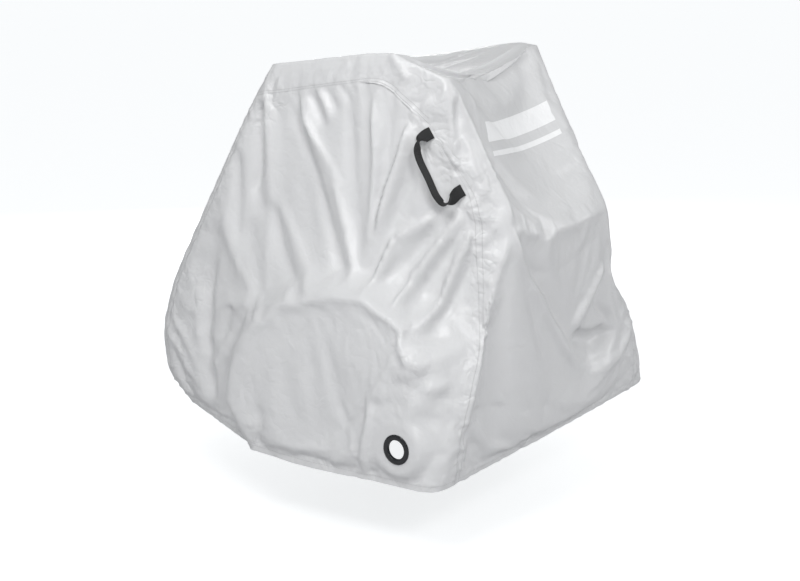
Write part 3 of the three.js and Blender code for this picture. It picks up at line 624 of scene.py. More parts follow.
# Where what is inside, or a stiff seam, holds the cloth out: a path of (station, level), the
# reach in mm and how firmly, from 0 to 1.
SUPPORTS_ON_BOTH_SIDES = {
    "roof's edge": (((1.0, 0.0), (2.0, 0.0), (3.0, 0.0)), 22, 0.8),
    "roof's front edge": (((1.0, 0.0), (0.0, 0.0)), 20, 0.6),
    "front corner": (((1.0, 0.0), (1.0, 3.0), (1.0, 6.8)), 30, 0.5),
    "bulge": (((1.45, 5.2), (2.0, 4.2), (2.6, 4.8)), 40, 0.5),
    "hem": (((0.0, 7.0), (1.0, 7.0), (2.0, 7.0), (3.0, 7.0), (4.0, 7.0)), 20, 0.3),
}
SUPPORTS = {
    "near rear corner": (((3.0, 0.0), (3.0, 3.0)), 22, 0.5),
    "far rear corner": (((5.0, 0.0), (5.0, 3.0)), 26, 0.6),
    "near shelf corner": (((3.0, 2.8), (3.06, 3.1)), 35, 0.9),
    "far shelf corner": (((5.0, 2.8), (4.95, 3.1)), 40, 0.9),
    "shelf": (((3.05, 3.0), (3.7, 3.1), (4.95, 3.0)), 20, 0.3),
    "far rear foot": (((5.0, 4.8), (5.0, 7.0)), 40, 0.5),
    "near rear foot": (((3.0, 5.0), (3.0, 7.0)), 40, 0.4),
    "eyelet": (((2.72, 6.0), (2.72, 6.2)), 50, 1.0),
    "handle's ends": ((HANDLE_TOP, HANDLE_FOOT), 26, 1.0),
}
LOOSE_HOLD = 0.08
SETTLE_FRAMES = 16
CLOTH_SETTINGS = {
    "quality": 6,
    "mass": 0.15,
    "tension_stiffness": 60,
    "compression_stiffness": 60,
    "shear_stiffness": 30,
    "bending_stiffness": 0.1,
    "tension_damping": 15,
    "compression_damping": 15,
    "shear_damping": 15,
    "bending_damping": 0.5,
    "shrink_min": -0.02,
    "shrink_max": -0.02,
    "vertex_group_mass": "hold",
    "pin_stiffness": 1,
}


def mirrored(path):
    return tuple((STATIONS - station, level) for station, level in path)


def firmness(points):
    """How firmly each point of the cloth is held while it settles."""
    both = SUPPORTS_ON_BOTH_SIDES.values()
    supports = [*both, *((mirrored(path), reach, firm) for path, reach, firm in both), *SUPPORTS.values()]
    hold = np.full(len(points), LOOSE_HOLD)
    for path, reach, firm in supports:
        away = distance_to(points, path)
        hold = np.maximum(hold, firm * ease((2 * reach - away) / reach))
    return hold


def settled(skin):
    """The skin after it has hung under its own weight, held where what is inside carries it."""
    hold = firmness(skin_arrays(skin)[0])
    bmesh.ops.scale(skin, vec=(MM, MM, MM), verts=skin.verts)
    piece = new_piece("settling", skin)
    group = piece.vertex_groups.new(name="hold")
    for k, value in enumerate(hold):
        group.add([k], float(value), "REPLACE")
    cloth_modifier = piece.modifiers.new("settle", "CLOTH")
    for name, value in CLOTH_SETTINGS.items():
        setattr(cloth_modifier.settings, name, value)
    cloth_modifier.collision_settings.use_collision = False
    cloth_modifier.point_cache.frame_start = 1
    cloth_modifier.point_cache.frame_end = SETTLE_FRAMES
    for number in range(1, SETTLE_FRAMES + 1):
        bpy.context.scene.frame_set(number)
    refine = piece.modifiers.new("refine", "SUBSURF")
    refine.levels = refine.render_levels = 1
    refine.uv_smooth = "NONE"
    shape = piece.evaluated_get(bpy.context.evaluated_depsgraph_get())
    result = bmesh.new()
    result.from_mesh(shape.to_mesh())
    shape.to_mesh_clear()
    mesh = piece.data
    bpy.data.objects.remove(piece)
    bpy.data.meshes.remove(mesh)
    bpy.context.scene.frame_set(1)
    bmesh.ops.scale(result, vec=(1 / MM, 1 / MM, 1 / MM), verts=result.verts)
    return result


# The share of a listed fold's height and of its width that its crease has.
CREASE_SHARE, CREASE_NARROWING = 0.55, 0.48
CREASE_CRISP = 0.9


def creases(folds):
    """The sharp line that each listed fold keeps after the cloth has settled."""
    return [
        Fold(fold.path, fold.width * CREASE_NARROWING, fold.height * CREASE_SHARE, fold.lean, CREASE_CRISP)
        for fold in folds
    ]


class Puckers(NamedTuple):
    """Small puckers across a seam or hem: its path, and in mm how far apart they are, how far they
    reach on each side, their half width and their height."""
    path: tuple
    pitch: float
    reach: float
    width: float
    height: float


def along_rear_seam(*levels):
    return tuple((float(rear_seam(level)), level) for level in levels)


NEAR_REAR_SEAM = along_rear_seam(1.3, 1.8, 2.4, 3.0, 3.6, 4.2, 5.0, 6.0, 6.8)
LUMPY_SEAM = along_rear_seam(2.35, 2.9, 3.5, 4.2, 4.9)
YOKE_SEAM = tuple(zip(YOKE_STATIONS, YOKE_LEVELS))
NEAR_FRONT_SEAM = ((FRONT_SEAM, 1.1), (FRONT_SEAM, 3.0), (FRONT_SEAM, 5.0), (FRONT_SEAM, 6.8))
HEM_LINE = 6.76
HEM_AROUND = tuple((station, HEM_LINE) for station in range(STATIONS + 1))
PUCKERS = (
    Puckers(NEAR_REAR_SEAM, 27, 17, 6.5, 4.2),
    Puckers(LUMPY_SEAM, 34, 26, 7.5, 7.5),
    Puckers(mirrored(NEAR_REAR_SEAM), 27, 17, 6.5, 4.0),
    Puckers(YOKE_SEAM, 23, 13, 5.0, 2.2),
    Puckers(mirrored(YOKE_SEAM), 23, 13, 5.0, 2.2),
    Puckers(NEAR_FRONT_SEAM, 30, 15, 6.0, 2.8),
    Puckers(mirrored(NEAR_FRONT_SEAM), 30, 15, 6.0, 2.8),
    Puckers(HEM_AROUND, 26, 12, 5.0, 2.2),
)
# The groove along each seam and along the hem's stitches: half width and height in mm.
SEAMS = (NEAR_REAR_SEAM, YOKE_SEAM, NEAR_FRONT_SEAM)
SEAM_GROOVE = (4.0, -2.2)
HEM_GROOVE = (3.5, -1.8)
CHANCE = random.Random(11)


def path_length(path):
    line = fold_line(path, wall)
    return np.linalg.norm(np.diff(line, axis=0), axis=1).sum()


def pucker_folds(row):
    """Short creases that cross a seam at uneven steps."""
    count = int(path_length(row.path) / row.pitch)
    stops = range(len(row.path))
    stations, levels = zip(*row.path)
    folds = []
    for share in np.linspace(0, len(stops) - 1, count + 2)[1:-1]:
        share = share + CHANCE.uniform(-0.3, 0.3) * len(stops) / count
        station, level = np.interp(share, stops, stations), np.interp(share, stops, levels)
        ahead = np.interp(share + 0.1, stops, stations), np.interp(share + 0.1, stops, levels)
        per_station, per_level = lengths_at(station, level)
        run = unit(np.array([(ahead[0] - station) * per_station, (ahead[1] - level) * per_level]))
        across = unit(np.array([-run[1], run[0]]) + CHANCE.uniform(-0.5, 0.5) * run)
        ends = []
        for side in (-1, 1):
            step = across * side * row.reach * CHANCE.uniform(0.5, 1.2)
            ends.append((station + step[0] / per_station, min(level + step[1] / per_level, HEM_LEVEL)))
        height = row.height * CHANCE.uniform(0.35, 1.2)
        width = row.width * CHANCE.uniform(0.7, 1.2)
        folds.append(Fold(tuple(ends), width, height, CHANCE.uniform(-0.4, 0.4), 0.6))
    return folds


def seam_folds():
    """The grooves along the seams and the hem, and the puckers across them."""
    folds = []
    for path in SEAMS:
        for side_path in (path, mirrored(path)):
            folds.append(Fold(side_path, *SEAM_GROOVE, crisp=0.5))
    folds.append(Fold(HEM_AROUND, *HEM_GROOVE, crisp=0.5))
    for row in PUCKERS:
        folds += pucker_folds(row)
    return folds


class Crinkles(NamedTuple):
    """Fine creases: how many, between which stations and levels, at which angles in degrees from
    level, and their half width, height and length in mm."""
    count: int
    stations: tuple
    levels: tuple
    angles: tuple
    width: float
    height: float
    length: float


CRINKLES = (
    Crinkles(60, (1.1, 2.6), (0.7, 4.0), (60, 115), 4.0, 2.6, 130),
    Crinkles(60, (1.1, 2.7), (0.7, 4.2), (0, 180), 3.6, 1.8, 70),
    Crinkles(34, (1.0, 1.7), (3.8, 6.8), (30, 120), 5.0, 2.4, 90),
    Crinkles(44, (1.5, 2.8), (4.2, 6.9), (0, 180), 4.5, 1.6, 100),
    Crinkles(36, (2.4, 3.1), (2.6, 5.4), (110, 150), 4.0, 3.0, 90),
    Crinkles(46, (3.0, 5.0), (0.2, 3.0), (40, 150), 4.2, 1.8, 120),
    Crinkles(50, (3.0, 5.0), (3.2, 6.9), (0, 180), 4.5, 2.4, 110),
    Crinkles(60, (5.0, 7.0), (0.7, 6.9), (40, 140), 5.5, 2.2, 120),
    Crinkles(50, (-1.0, 1.0), (0.4, 6.9), (30, 150), 5.5, 2.0, 120),
    Crinkles(40, (1.1, 2.6), (0.0, 0.7), (20, 120), 4.5, 1.6, 60),
)


def crinkle_folds():
    """Fine, slightly bowed creases in random places, some up and some down."""
    rows = [row for row in CRINKLES for _ in range(row.count)]
    folds = []
    for row in rows:
        station, level = CHANCE.uniform(*row.stations), CHANCE.uniform(*row.levels)
        angle = math.radians(CHANCE.uniform(*row.angles))
        per_station, per_level = lengths_at(station, level)
        half = row.length * CHANCE.uniform(0.25, 0.7)
        bow = half * CHANCE.uniform(-0.18, 0.18)
        step = np.array([math.cos(angle) / per_station, -math.sin(angle) / per_level])
        aside = np.array([math.sin(angle) / per_station, math.cos(angle) / per_level])
        middle = np.array([station, level])
        path = [middle - half * step, middle + bow * aside, middle + half * step]
        path = tuple((float(s), float(min(max(l, 0.02), HEM_LEVEL))) for s, l in path)
        height = row.height * CHANCE.uniform(0.4, 1.0) * CHANCE.choice((-1, 1))
        width = row.width * CHANCE.uniform(0.7, 1.3)
        folds.append(Fold(path, width, height, CHANCE.uniform(-0.5, 0.5), 0.85))
    return folds


# Where the cloth is crushed most: a path of (station, level), its reach in mm, and how much,
# from 0 to 1.
CRUSHED = {
    "rear seam": (((2.62, 1.2), (2.80, 2.0), (2.86, 2.4), (2.83, 3.1), (2.95, 3.8), (3.04, 4.4)), 30, 1.0),
    "low rear seam": (((3.04, 4.4), (3.12, 5.6), (3.18, 6.8)), 30, 0.7),
    "yoke": (((1.1, 0.95), (1.5, 0.75), (2.0, 0.55), (2.3, 0.8), (2.62, 1.2)), 20, 0.42),
    "roof's corner": (((2.4, 0.1), (2.75, 0.5), (2.65, 1.1)), 36, 0.8),
    "front seam": (((1.08, 0.4), (1.05, 3.0), (1.05, 6.8)), 26, 0.6),
    "beside the front seam": (((1.22, 0.9), (1.16, 1.5)), 30, 0.9),
    "nose": (((1.15, 4.2), (1.15, 6.4)), 60, 0.7),
    "bulge's rear": (((2.60, 4.2), (2.74, 4.9)), 40, 0.7),
    "hem": (((0.0, 6.9), (1.0, 6.9), (2.0, 6.9), (3.0, 6.9), (4.0, 6.9)), 18, 0.6),
    "far hem": (((4.0, 6.9), (5.0, 6.9), (6.0, 6.9), (7.0, 6.9), (8.0, 6.9)), 18, 0.6),
    "far rear seam": (((5.38, 1.2), (5.14, 2.4), (5.17, 3.1), (4.96, 4.4), (4.82, 6.8)), 30, 0.9),
    "far front seam": (((6.95, 0.9), (6.95, 3.0), (6.95, 6.8)), 30, 0.8),
    "far yoke": (((6.95, 0.95), (6.5, 0.75), (6.0, 0.55), (5.7, 0.8), (5.38, 1.2)), 24, 0.75),
}
EVENLY_CRUSHED = 0.22


def mark_crushed(skin):
    """Keeps on each vertex, from 0 to 1, how finely crushed the cloth is there."""
    points, _, _ = skin_arrays(skin)
    crushed = np.full(len(points), EVENLY_CRUSHED)
    for path, reach, much in CRUSHED.values():
        away = distance_to(points, path)
        crushed = np.maximum(crushed, much * ease((2 * reach - away) / (1.6 * reach)))
    layer = skin.verts.layers.float.new("crushed")
    for vert, value in zip(skin.verts, crushed):
        vert[layer] = value


def cover_skin():
    """The whole cover's outer face: folded along the listed folds, settled, then creased and puckered."""
    skin = whole_skin()
    fold_skin(skin, ((WALL_FOLDS.values(), wall), (ROOF_FOLDS.values(), roof)), 5)
    flatten_spots(skin)
    skin = settled(skin)
    fine = [*creases(WALL_FOLDS.values()), *seam_folds(), *crinkle_folds()]
    fold_skin(skin, ((fine, wall), (creases(ROOF_FOLDS.values()), roof)), 3)
    flatten_spots(skin)
    mark_crushed(skin)
    bmesh.ops.translate(skin, vec=-REST, verts=skin.verts)
    bmesh.ops.scale(skin, vec=(MM, MM, MM), verts=skin.verts)
    return skin


# The stretch of the near yoke seam where the band's edge laps over the side panel as a flap, and
# over how many stations it starts at each end. Then how near to the seam, in levels, an edge is
# part of it, and in mm how far it reaches over and stands off, and how far the panel sinks under it.
FLAP_STATIONS = (1.78, 2.58)
FLAP_ENDS = 0.18
FLAP_NEAR = 0.04
FLAP_OVER, FLAP_OFF, FLAP_UNDER = 3.0, 2.8, 1.4


def lap_yoke(cut, panel):
    """Moves the cut edge at the near yoke seam, so that the band laps over the side panel there."""
    layer = cut.loops.layers.uv["place"]
    for vert in cut.verts:
        if not vert.is_boundary:
            continue
        station, level = vert.link_loops[0][layer].uv
        first, last = FLAP_STATIONS
        if not first < station < last or abs(level - float(yoke_level(station))) > FLAP_NEAR:
            continue
        share = float(ease(min(station - first, last - station) / FLAP_ENDS)) * MM
        spot = spot_at(station, level)
        if panel == CENTRE:
            vert.co += Vector(spot.out * FLAP_OFF + spot.down * FLAP_OVER) * share
        elif panel == NEAR:
            vert.co -= Vector(spot.out) * FLAP_UNDER * share


EYELET_CUT_RADIUS = 26


def cut_panels(skin):
    """Each panel as an object of its own, the near one with a hole under the eyelet's flange."""
    pieces = {}
    eyelet = Vector((EYELET_SPOT.centre - REST) * MM)
    for panel, name in PANELS.items():
        cut = skin.copy()
        layer = cut.faces.layers.int["panel"]
        others = [face for face in cut.faces if face[layer] != panel
                  or (face.calc_center_median() - eyelet).length < EYELET_CUT_RADIUS * MM]
        bmesh.ops.delete(cut, geom=others, context="FACES")
        lap_yoke(cut, panel)
        for edge in cut.edges:
            edge.smooth = not edge.is_boundary
        pieces[panel] = new_piece(name + "_cloth", cut)
    return pieces


def add_thickness(piece):
    solid = piece.modifiers.new("thickness", "SOLIDIFY")
    solid.thickness = CLOTH_THICK * MM
    solid.offset = -1


# The eyelet's section as (radius, height off the cloth) in mm, round the whole loop.
EYELET_SECTION = (
    (20.0, -3.6), (20.0, 1.4), (20.5, 2.5), (21.8, 3.1), (25.5, 3.3), (29.0, 2.8), (30.8, 1.9), (31.5, 0.9),
    (31.3, 0.3), (22.4, 0.3), (22.4, -1.3), (31.3, -1.3), (31.5, -2.0), (30.6, -3.2), (28.0, -4.3),
    (24.0, -4.7), (21.4, -4.5), (20.3, -4.2), (20.0, -3.6),
)
EYELET_TURN_STEPS = 96


def eyelet_piece():
    """The plastic eyelet, turned from its section and set flat on the near cloth."""
    turned = bmesh.new()
    verts = [turned.verts.new((radius, 0, height)) for radius, height in EYELET_SECTION[:-1]]
    edges = [turned.edges.new((a, b)) for a, b in zip(verts, verts[1:] + verts[:1])]
    bmesh.ops.spin(turned, geom=verts + edges, cent=(0, 0, 0), axis=(0, 0, 1), angle=math.tau,
                   steps=EYELET_TURN_STEPS, use_merge=True)
    bmesh.ops.remove_doubles(turned, verts=turned.verts, dist=0.01)
    bmesh.ops.recalc_face_normals(turned, faces=turned.faces)
    spot = EYELET_SPOT
    axes = Matrix((spot.along, -spot.down, spot.out)).transposed().to_4x4()
    place = Matrix.Translation(Vector((spot.centre - REST) * MM)) @ axes @ Matrix.Scale(MM, 4)
    bmesh.ops.transform(turned, matrix=place, verts=turned.verts)
    piece = new_piece("eyelet", turned)
    piece.data.materials.append(eyelet_material())
    return piece


# The webbing handle: width and thickness, how square its folded edges are, how far its middle
# leans, and between which shares of its length each end turns from flat to on edge.
STRAP_WIDTH, STRAP_THICK = 25.0, 1.7
STRAP_SQUARE = 0.35
STRAP_TILT = math.radians(18)
STRAP_TURN = (0.06, 0.28)
# Its route in mm: beside the seam from the top end, away from the seam, and off the cloth.
STRAP_ROUTE = (
    (0, 0, 1.3), (0, 12, 7), (5, 25, 19), (18, 36, 27), (36, 41, 30), (80, 44, 31),
    (120, 47, 30), (137, 42, 28), (139, 28, 20), (132, 12, 8), (131, 0, 1.3),
)
STRAP_STEPS = 150
STRAP_AROUND = 16
# Its stitches in mm, the shares of its length between which they run, and the share of its half
# width at which each row lies.
STITCH_PITCH, STITCH_LONG, STITCH_RADIUS = 4.4, 3.2, 0.42
STITCH_SHARES = (0.26, 0.75)
STITCH_ROW = 0.84


class StrapFrame(NamedTuple):
    """A place along the handle: the way it runs, the way across it and the way off its face."""
    centre: np.ndarray
    tangent: np.ndarray
    flat: np.ndarray
    face: np.ndarray


def smooth_route(stops, share):
    """A point on the centripetal spline through the stops."""
    steps = len(stops) - 1
    k = min(int(share * steps), steps - 1)
    t = share * steps - k
    before = stops[k - 1] if k else 2 * stops[0] - stops[1]
    after = stops[k + 2] if k + 2 < len(stops) else 2 * stops[-1] - stops[-2]
    points = (before, stops[k], stops[k + 1], after)
    knots = [0.0]
    for a, b in zip(points, points[1:]):
        knots.append(knots[-1] + math.sqrt(np.linalg.norm(b - a)))
    at = mix(knots[1], knots[2], t)
    for spans in (((0, 1), (1, 2), (2, 3)), ((0, 2), (1, 3)), ((1, 2),)):
        points = [
            ((knots[last] - at) * a + (at - knots[first]) * b) / (knots[last] - knots[first])
            for (first, last), a, b in zip(spans, points, points[1:])
        ]
    return points[0]


def strap_frames():
    """The handle's frames from its top end to its foot."""
    top, foot = HANDLE_SPOTS
    reach = np.linalg.norm(foot.centre - top.centre)
    run = (foot.centre - top.centre) / reach

    def ways_at(share):
        out = unit(mix(top.out, foot.out, share))
        return unit(np.cross(run, out)), out

    stops = []
    for beside, away, off in STRAP_ROUTE:
        left, out = ways_at(min(beside / reach, 1))
        stops.append(top.centre + run * beside + left * away + out * off)
    frames = []
    for step in range(STRAP_STEPS + 1):
        share = step / STRAP_STEPS
        left, out = ways_at(share)
        ahead, behind = (smooth_route(stops, float(np.clip(share + d, 0, 1))) for d in (1e-3, -1e-3))
        tangent = unit(ahead - behind)
        if step == 0:
            tangent = left
        if step == STRAP_STEPS:
            tangent = -left
        low, high = STRAP_TURN
        turn = math.pi / 2 * (ease((share - low) / (high - low)) + ease((share - 1 + high) / (high - low)))
        on_edge = out * math.cos(STRAP_TILT) + left * math.sin(STRAP_TILT)
        flat = np.cross(out, left) * math.cos(turn) + on_edge * math.sin(turn)
        flat = unit(flat - tangent * (flat @ tangent))
        frames.append(StrapFrame(smooth_route(stops, share), tangent, flat, unit(np.cross(tangent, flat))))
    return frames


def add_stitch(bm, place, along, out):
    """One short thread, rounded at its ends, lying along the strap."""
    made = bmesh.ops.create_uvsphere(bm, u_segments=8, v_segments=6, radius=1)["verts"]
    aside = np.cross(out, along)
    axes = Matrix((along * STITCH_LONG / 2, aside * STITCH_RADIUS, out * STITCH_RADIUS)).transposed().to_4x4()
    bmesh.ops.transform(bm, matrix=Matrix.Translation(Vector(place)) @ axes, verts=made)
    for face in {f for v in made for f in v.link_faces}:
        face.material_index = 1


def squared(value):
    """A sine or cosine pressed towards 1 and -1, so that a circle becomes a round-cornered square."""
    return math.copysign(abs(value) ** STRAP_SQUARE, value)


def handle_piece(webbing):
    """The webbing handle with its folded edges and the stitches along them."""
    frames = strap_frames()
    strap = bmesh.new()
    bmesh.ops.create_grid(strap, x_segments=STRAP_STEPS, y_segments=STRAP_AROUND, size=0.5)
    layer = strap.loops.layers.uv.new("webbing")
    length = np.cumsum([0] + [np.linalg.norm(b.centre - a.centre) for a, b in zip(frames, frames[1:])])
    where = {}
    for vert in strap.verts:
        step = round((vert.co.x + 0.5) * STRAP_STEPS)
        angle = (vert.co.y + 0.5) * math.tau
        across = squared(math.cos(angle)) * STRAP_WIDTH / 2
        off = squared(math.sin(angle)) * STRAP_THICK / 2
        where[vert] = (length[step] * MM, across * MM)
        row = frames[step]
        vert.co = row.centre + row.flat * across + row.face * off
    for face in strap.faces:
        for loop in face.loops:
            loop[layer].uv = where[loop.vert]
    bmesh.ops.remove_doubles(strap, verts=strap.verts, dist=0.01)
    bmesh.ops.holes_fill(strap, edges=[e for e in strap.edges if e.is_boundary])
    bmesh.ops.recalc_face_normals(strap, faces=strap.faces)
    first, last = (share * length[-1] for share in STITCH_SHARES)
    for place in np.arange(first, last, STITCH_PITCH):
        row = frames[int(np.searchsorted(length, place))]
        for edge in (-STITCH_ROW, STITCH_ROW):
            for side in (-1, 1):
                spot = row.centre + row.flat * edge * STRAP_WIDTH / 2 + row.face * side * STRAP_THICK / 2
                add_stitch(strap, spot, row.tangent, row.face * side)
    bmesh.ops.translate(strap, vec=-REST, verts=strap.verts)
    bmesh.ops.scale(strap, vec=(MM, MM, MM), verts=strap.verts)
    piece = new_piece("handle", strap)
    piece.data.materials.append(webbing)
    piece.data.materials.append(thread_material())
    return piece


class NodeTree:
    """A tree of shader nodes, with short ways to add nodes and link them."""

    def __init__(self, tree):
        self.nodes, self.links = tree.nodes, tree.links

    def feed(self, node, inputs):
        """Gives each input a plain value, or links another node's output to it."""
        for name, value in inputs.items():
            if isinstance(value, bpy.types.NodeSocket):
                self.links.new(value, node.inputs[name])
            else:
                node.inputs[name].default_value = value

    def add(self, kind, inputs, **settings):
        node = self.nodes.new("ShaderNode" + kind)
        for name, value in settings.items():
            setattr(node, name, value)
        self.feed(node, inputs)
        return node

    def math(self, operation, *values):
        return self.add("Math", dict(enumerate(values)), operation=operation).outputs["Value"]

    def parts(self, vector):
        """The first two parts of a vector."""
        split = self.add("SeparateXYZ", {"Vector": vector})
        return split.outputs["X"], split.outputs["Y"]

    def uv(self, name):
        return self.add("UVMap", {}, uv_map=name).outputs["UV"]

    def place(self):
        return self.add("TexCoord", {}).outputs["Object"]

    def bump(self, height, distance, strength, **under):
        inputs = {"Height": height, "Distance": distance, "Strength": strength, **under}
        return self.add("Bump", inputs).outputs["Normal"]

    def mixed(self, factor, first, second):
        """One colour turning into another as the factor goes from 0 to 1."""
        inputs = {"Factor": factor, "A": first, "B": second}
        return self.add("Mix", inputs, data_type="RGBA").outputs["Result"]

    def height(self, group, **inputs):
        """What a group gives as its height."""
        return self.add("Group", inputs, node_tree=group).outputs["Height"]

    def by_ray(self, seen, thrown, output):
        """Shows one shader to the camera and another to every other ray."""
        ray = self.add("LightPath", {}).outputs["Is Camera Ray"]
        choose = self.add("MixShader", {"Fac": ray, 1: thrown, 2: seen})
        self.feed(self.nodes[output], {"Surface": choose.outputs["Shader"]})


def new_material(name, **inputs):
    """A material, its node tree and its shader, with the shader's inputs set by name, _ for a space."""
    material = bpy.data.materials.new(name)
    material.use_nodes = True
    tree = NodeTree(material.node_tree)
    shader = tree.nodes["Principled BSDF"]
    tree.feed(shader, {key.replace("_", " "): value for key, value in inputs.items()})
    return material, tree, shader


def eyelet_material():
    """Glossy black plastic with a slightly uneven face."""
    material, tree, shader = new_material(
        "eyelet_plastic", Base_Color=(0.012, 0.013, 0.015, 1), Roughness=0.22)
    wear = tree.add("TexNoise", {"Scale": 260, "Vector": tree.place()})
    tree.feed(shader, {"Normal": tree.bump(wear.outputs["Fac"], 0.0004, 0.12)})
    return material


def thread_material():
    return new_material("thread", Base_Color=(0.012, 0.012, 0.013, 1), Roughness=0.5)[0]


# Threads to the metre in the handle's webbing and in the cloth.
WEBBING_ACROSS, WEBBING_ALONG = 420.0, 560.0
CLOTH_THREADS = 1300.0


def webbing_material(weave):
    """Black webbing: ribs across it, finer threads along it, and a little fuzz on grazing faces."""
    material, tree, shader = new_material(
        "webbing", Base_Color=(0.009, 0.0092, 0.0098, 1), Roughness=0.65,
        Sheen_Weight=0.14, Sheen_Roughness=0.4, Sheen_Tint=(0.7, 0.7, 0.72, 1))
    ribs = tree.height(weave, Place=tree.uv("webbing"), Across=WEBBING_ACROSS, Along=WEBBING_ALONG)
    tree.feed(shader, {"Normal": tree.bump(ribs, 0.0004, 0.8)})
    return material


# The two plain pale bars on the rear: from and to in stations and levels, with a soft edge.
BARS = ((3.42, 4.78, 0.95, 1.33), (3.42, 4.78, 1.50, 1.60))
BAR_EDGE = 0.006


def between(tree, value, low, high):
    """1 where the value lies between low and high, with a soft edge."""
    above = tree.math("DIVIDE", tree.math("SUBTRACT", value, low), BAR_EDGE)
    below = tree.math("DIVIDE", tree.math("SUBTRACT", high, value), BAR_EDGE)
    both = tree.math("MINIMUM", above, below)
    return tree.math("MINIMUM", tree.math("MAXIMUM", both, 0.0), 1.0)


def bars_mask(tree, place):
    """1 on the two printed bars, worked out from the cloth's stations and levels."""
    station, level = tree.parts(place)
    masks = [
        tree.math("MULTIPLY", between(tree, station, first, last), between(tree, level, top, bottom))
        for first, last, top, bottom in BARS
    ]
    return tree.math("MAXIMUM", *masks)


def new_group(name, inputs):
    """A node group that gives a height from named inputs: numbers, or vectors where one has three."""
    group = bpy.data.node_groups.new(name, "ShaderNodeTree")
    for socket, value in inputs.items():
        kind = "NodeSocketFloat" if isinstance(value, float) else "NodeSocketVector"
        group.interface.new_socket(socket, in_out="INPUT", socket_type=kind).default_value = value
    group.interface.new_socket("Height", in_out="OUTPUT", socket_type="NodeSocketFloat")
    tree = NodeTree(group)
    return group, tree, tree.nodes.new("NodeGroupInput").outputs, tree.nodes.new("NodeGroupOutput")


def weave_group():
    """The height of a woven face: threads across and along, so many to the metre."""
    group, tree, given, put = new_group("weave", {"Place": (0, 0, 0), "Across": 1.0, "Along": 1.0})
    x, y = tree.parts(given["Place"])
    waves = []
    for part, threads in ((x, "Along"), (y, "Across")):
        turns = tree.math("MULTIPLY", tree.math("MULTIPLY", part, given[threads]), math.tau)
        waves.append(tree.math("SINE", turns))
    both = tree.math("MULTIPLY", *waves)
    tree.feed(put, {"Height": tree.math("MULTIPLY_ADD", both, 0.5, 0.5)})
    return group


# The crushed cloth's three sizes of facet: how much finer than the middle one, and how high.
FACET_SIZES = ((0.45, 1.7), (1.0, 1.0), (2.3, 0.45))


def crush_group():
    """The height of finely crushed cloth: sharp creases between smooth facets, large and small."""
    group, tree, given, put = new_group("crush", {"Place": (0, 0, 0), "Facets": 1.0})
    height = 0.0
    for finer, share in FACET_SIZES:
        scale = tree.math("MULTIPLY", given["Facets"], finer)
        inputs = {"Vector": given["Place"], "Scale": scale, "Detail": 1, "Distortion": 0.7}
        noise = tree.add("TexNoise", inputs).outputs["Fac"]
        crease = tree.math("ABSOLUTE", tree.math("SUBTRACT", noise, 0.5))
        height = tree.math("MULTIPLY_ADD", crease, share, height)
    tree.feed(put, {"Height": height})
    return group


# Stitching, in metres on the cut: the side seams, the yoke seam, the hem's stitch line, how far the
# stitches lie from their seam, how far apart they start, how much of that each fills, and half
# their width.
SIDE_SEAM_U = WALL_CUT[0] / 2
YOKE_SEAM_V = WALL_CUT[1] * SIDE_ROWS / ALL_ROWS
HEM_STITCH_V = 0.018
STITCH_OFF, STITCH_STEP, STITCH_SHARE, STITCH_HALF_WIDTH = 0.006, 0.0045, 0.68, 0.0007
YOKE_STITCHES = (0.5, 1.6)


def stitch_row(tree, across, along, place):
    """1 on short stitches that run along one line of the cut."""
    off = tree.math("ABSOLUTE", tree.math("SUBTRACT", across, place))
    on_line = tree.math("LESS_THAN", off, STITCH_HALF_WIDTH)
    turns = tree.math("DIVIDE", along, STITCH_STEP)
    return tree.math("MULTIPLY", on_line, tree.math("LESS_THAN", tree.math("FRACT", turns), STITCH_SHARE))


def stitch_mask(tree, cut, place):
    """1 on every stitch: beside the side seams, along the hem, and twice above the yoke seams."""
    u, v = tree.parts(cut)
    sides = stitch_row(tree, tree.math("ABSOLUTE", u), v, SIDE_SEAM_U - STITCH_OFF)
    sides = tree.math("MULTIPLY", sides, tree.math("LESS_THAN", v, YOKE_SEAM_V))
    hem = stitch_row(tree, v, u, HEM_STITCH_V)
    rows = [stitch_row(tree, v, u, YOKE_SEAM_V + STITCH_OFF * share) for share in YOKE_STITCHES]
    yoke = tree.math("MAXIMUM", *rows)
    from_rear = tree.math("ABSOLUTE", tree.math("SUBTRACT", tree.parts(place)[0], STATIONS / 2))
    for limit, way in ((STATIONS / 2 - YOKE_END, "GREATER_THAN"), (STATIONS / 2 - FRONT_SEAM, "LESS_THAN")):
        yoke = tree.math("MULTIPLY", yoke, tree.math(way, from_rear, limit))
    return tree.math("MAXIMUM", tree.math("MAXIMUM", sides, hem), yoke)


CLOTH_COLOUR, CLOTH_DEEPER = (0.70, 0.703, 0.707, 1), (0.66, 0.663, 0.67, 1)
# The stitch colour is painted shade: the thread is the cloth's own grey, darkened here to stand in for the
# shade in the stitch dents.
PRINT_COLOUR, STITCH_PAINTED_SHADE = (0.93, 0.935, 0.94, 1), (0.52, 0.52, 0.525, 1)
# How many clouds of deeper colour and how many crushed facets a metre holds, and in metres how high
# the facets, the weave and the stitches stand.
CLOUDS, FACETS = 7, 17.0
FACET_HEIGHT, WEAVE_HEIGHT, STITCH_HEIGHT = 0.011, 0.00006, 0.0004


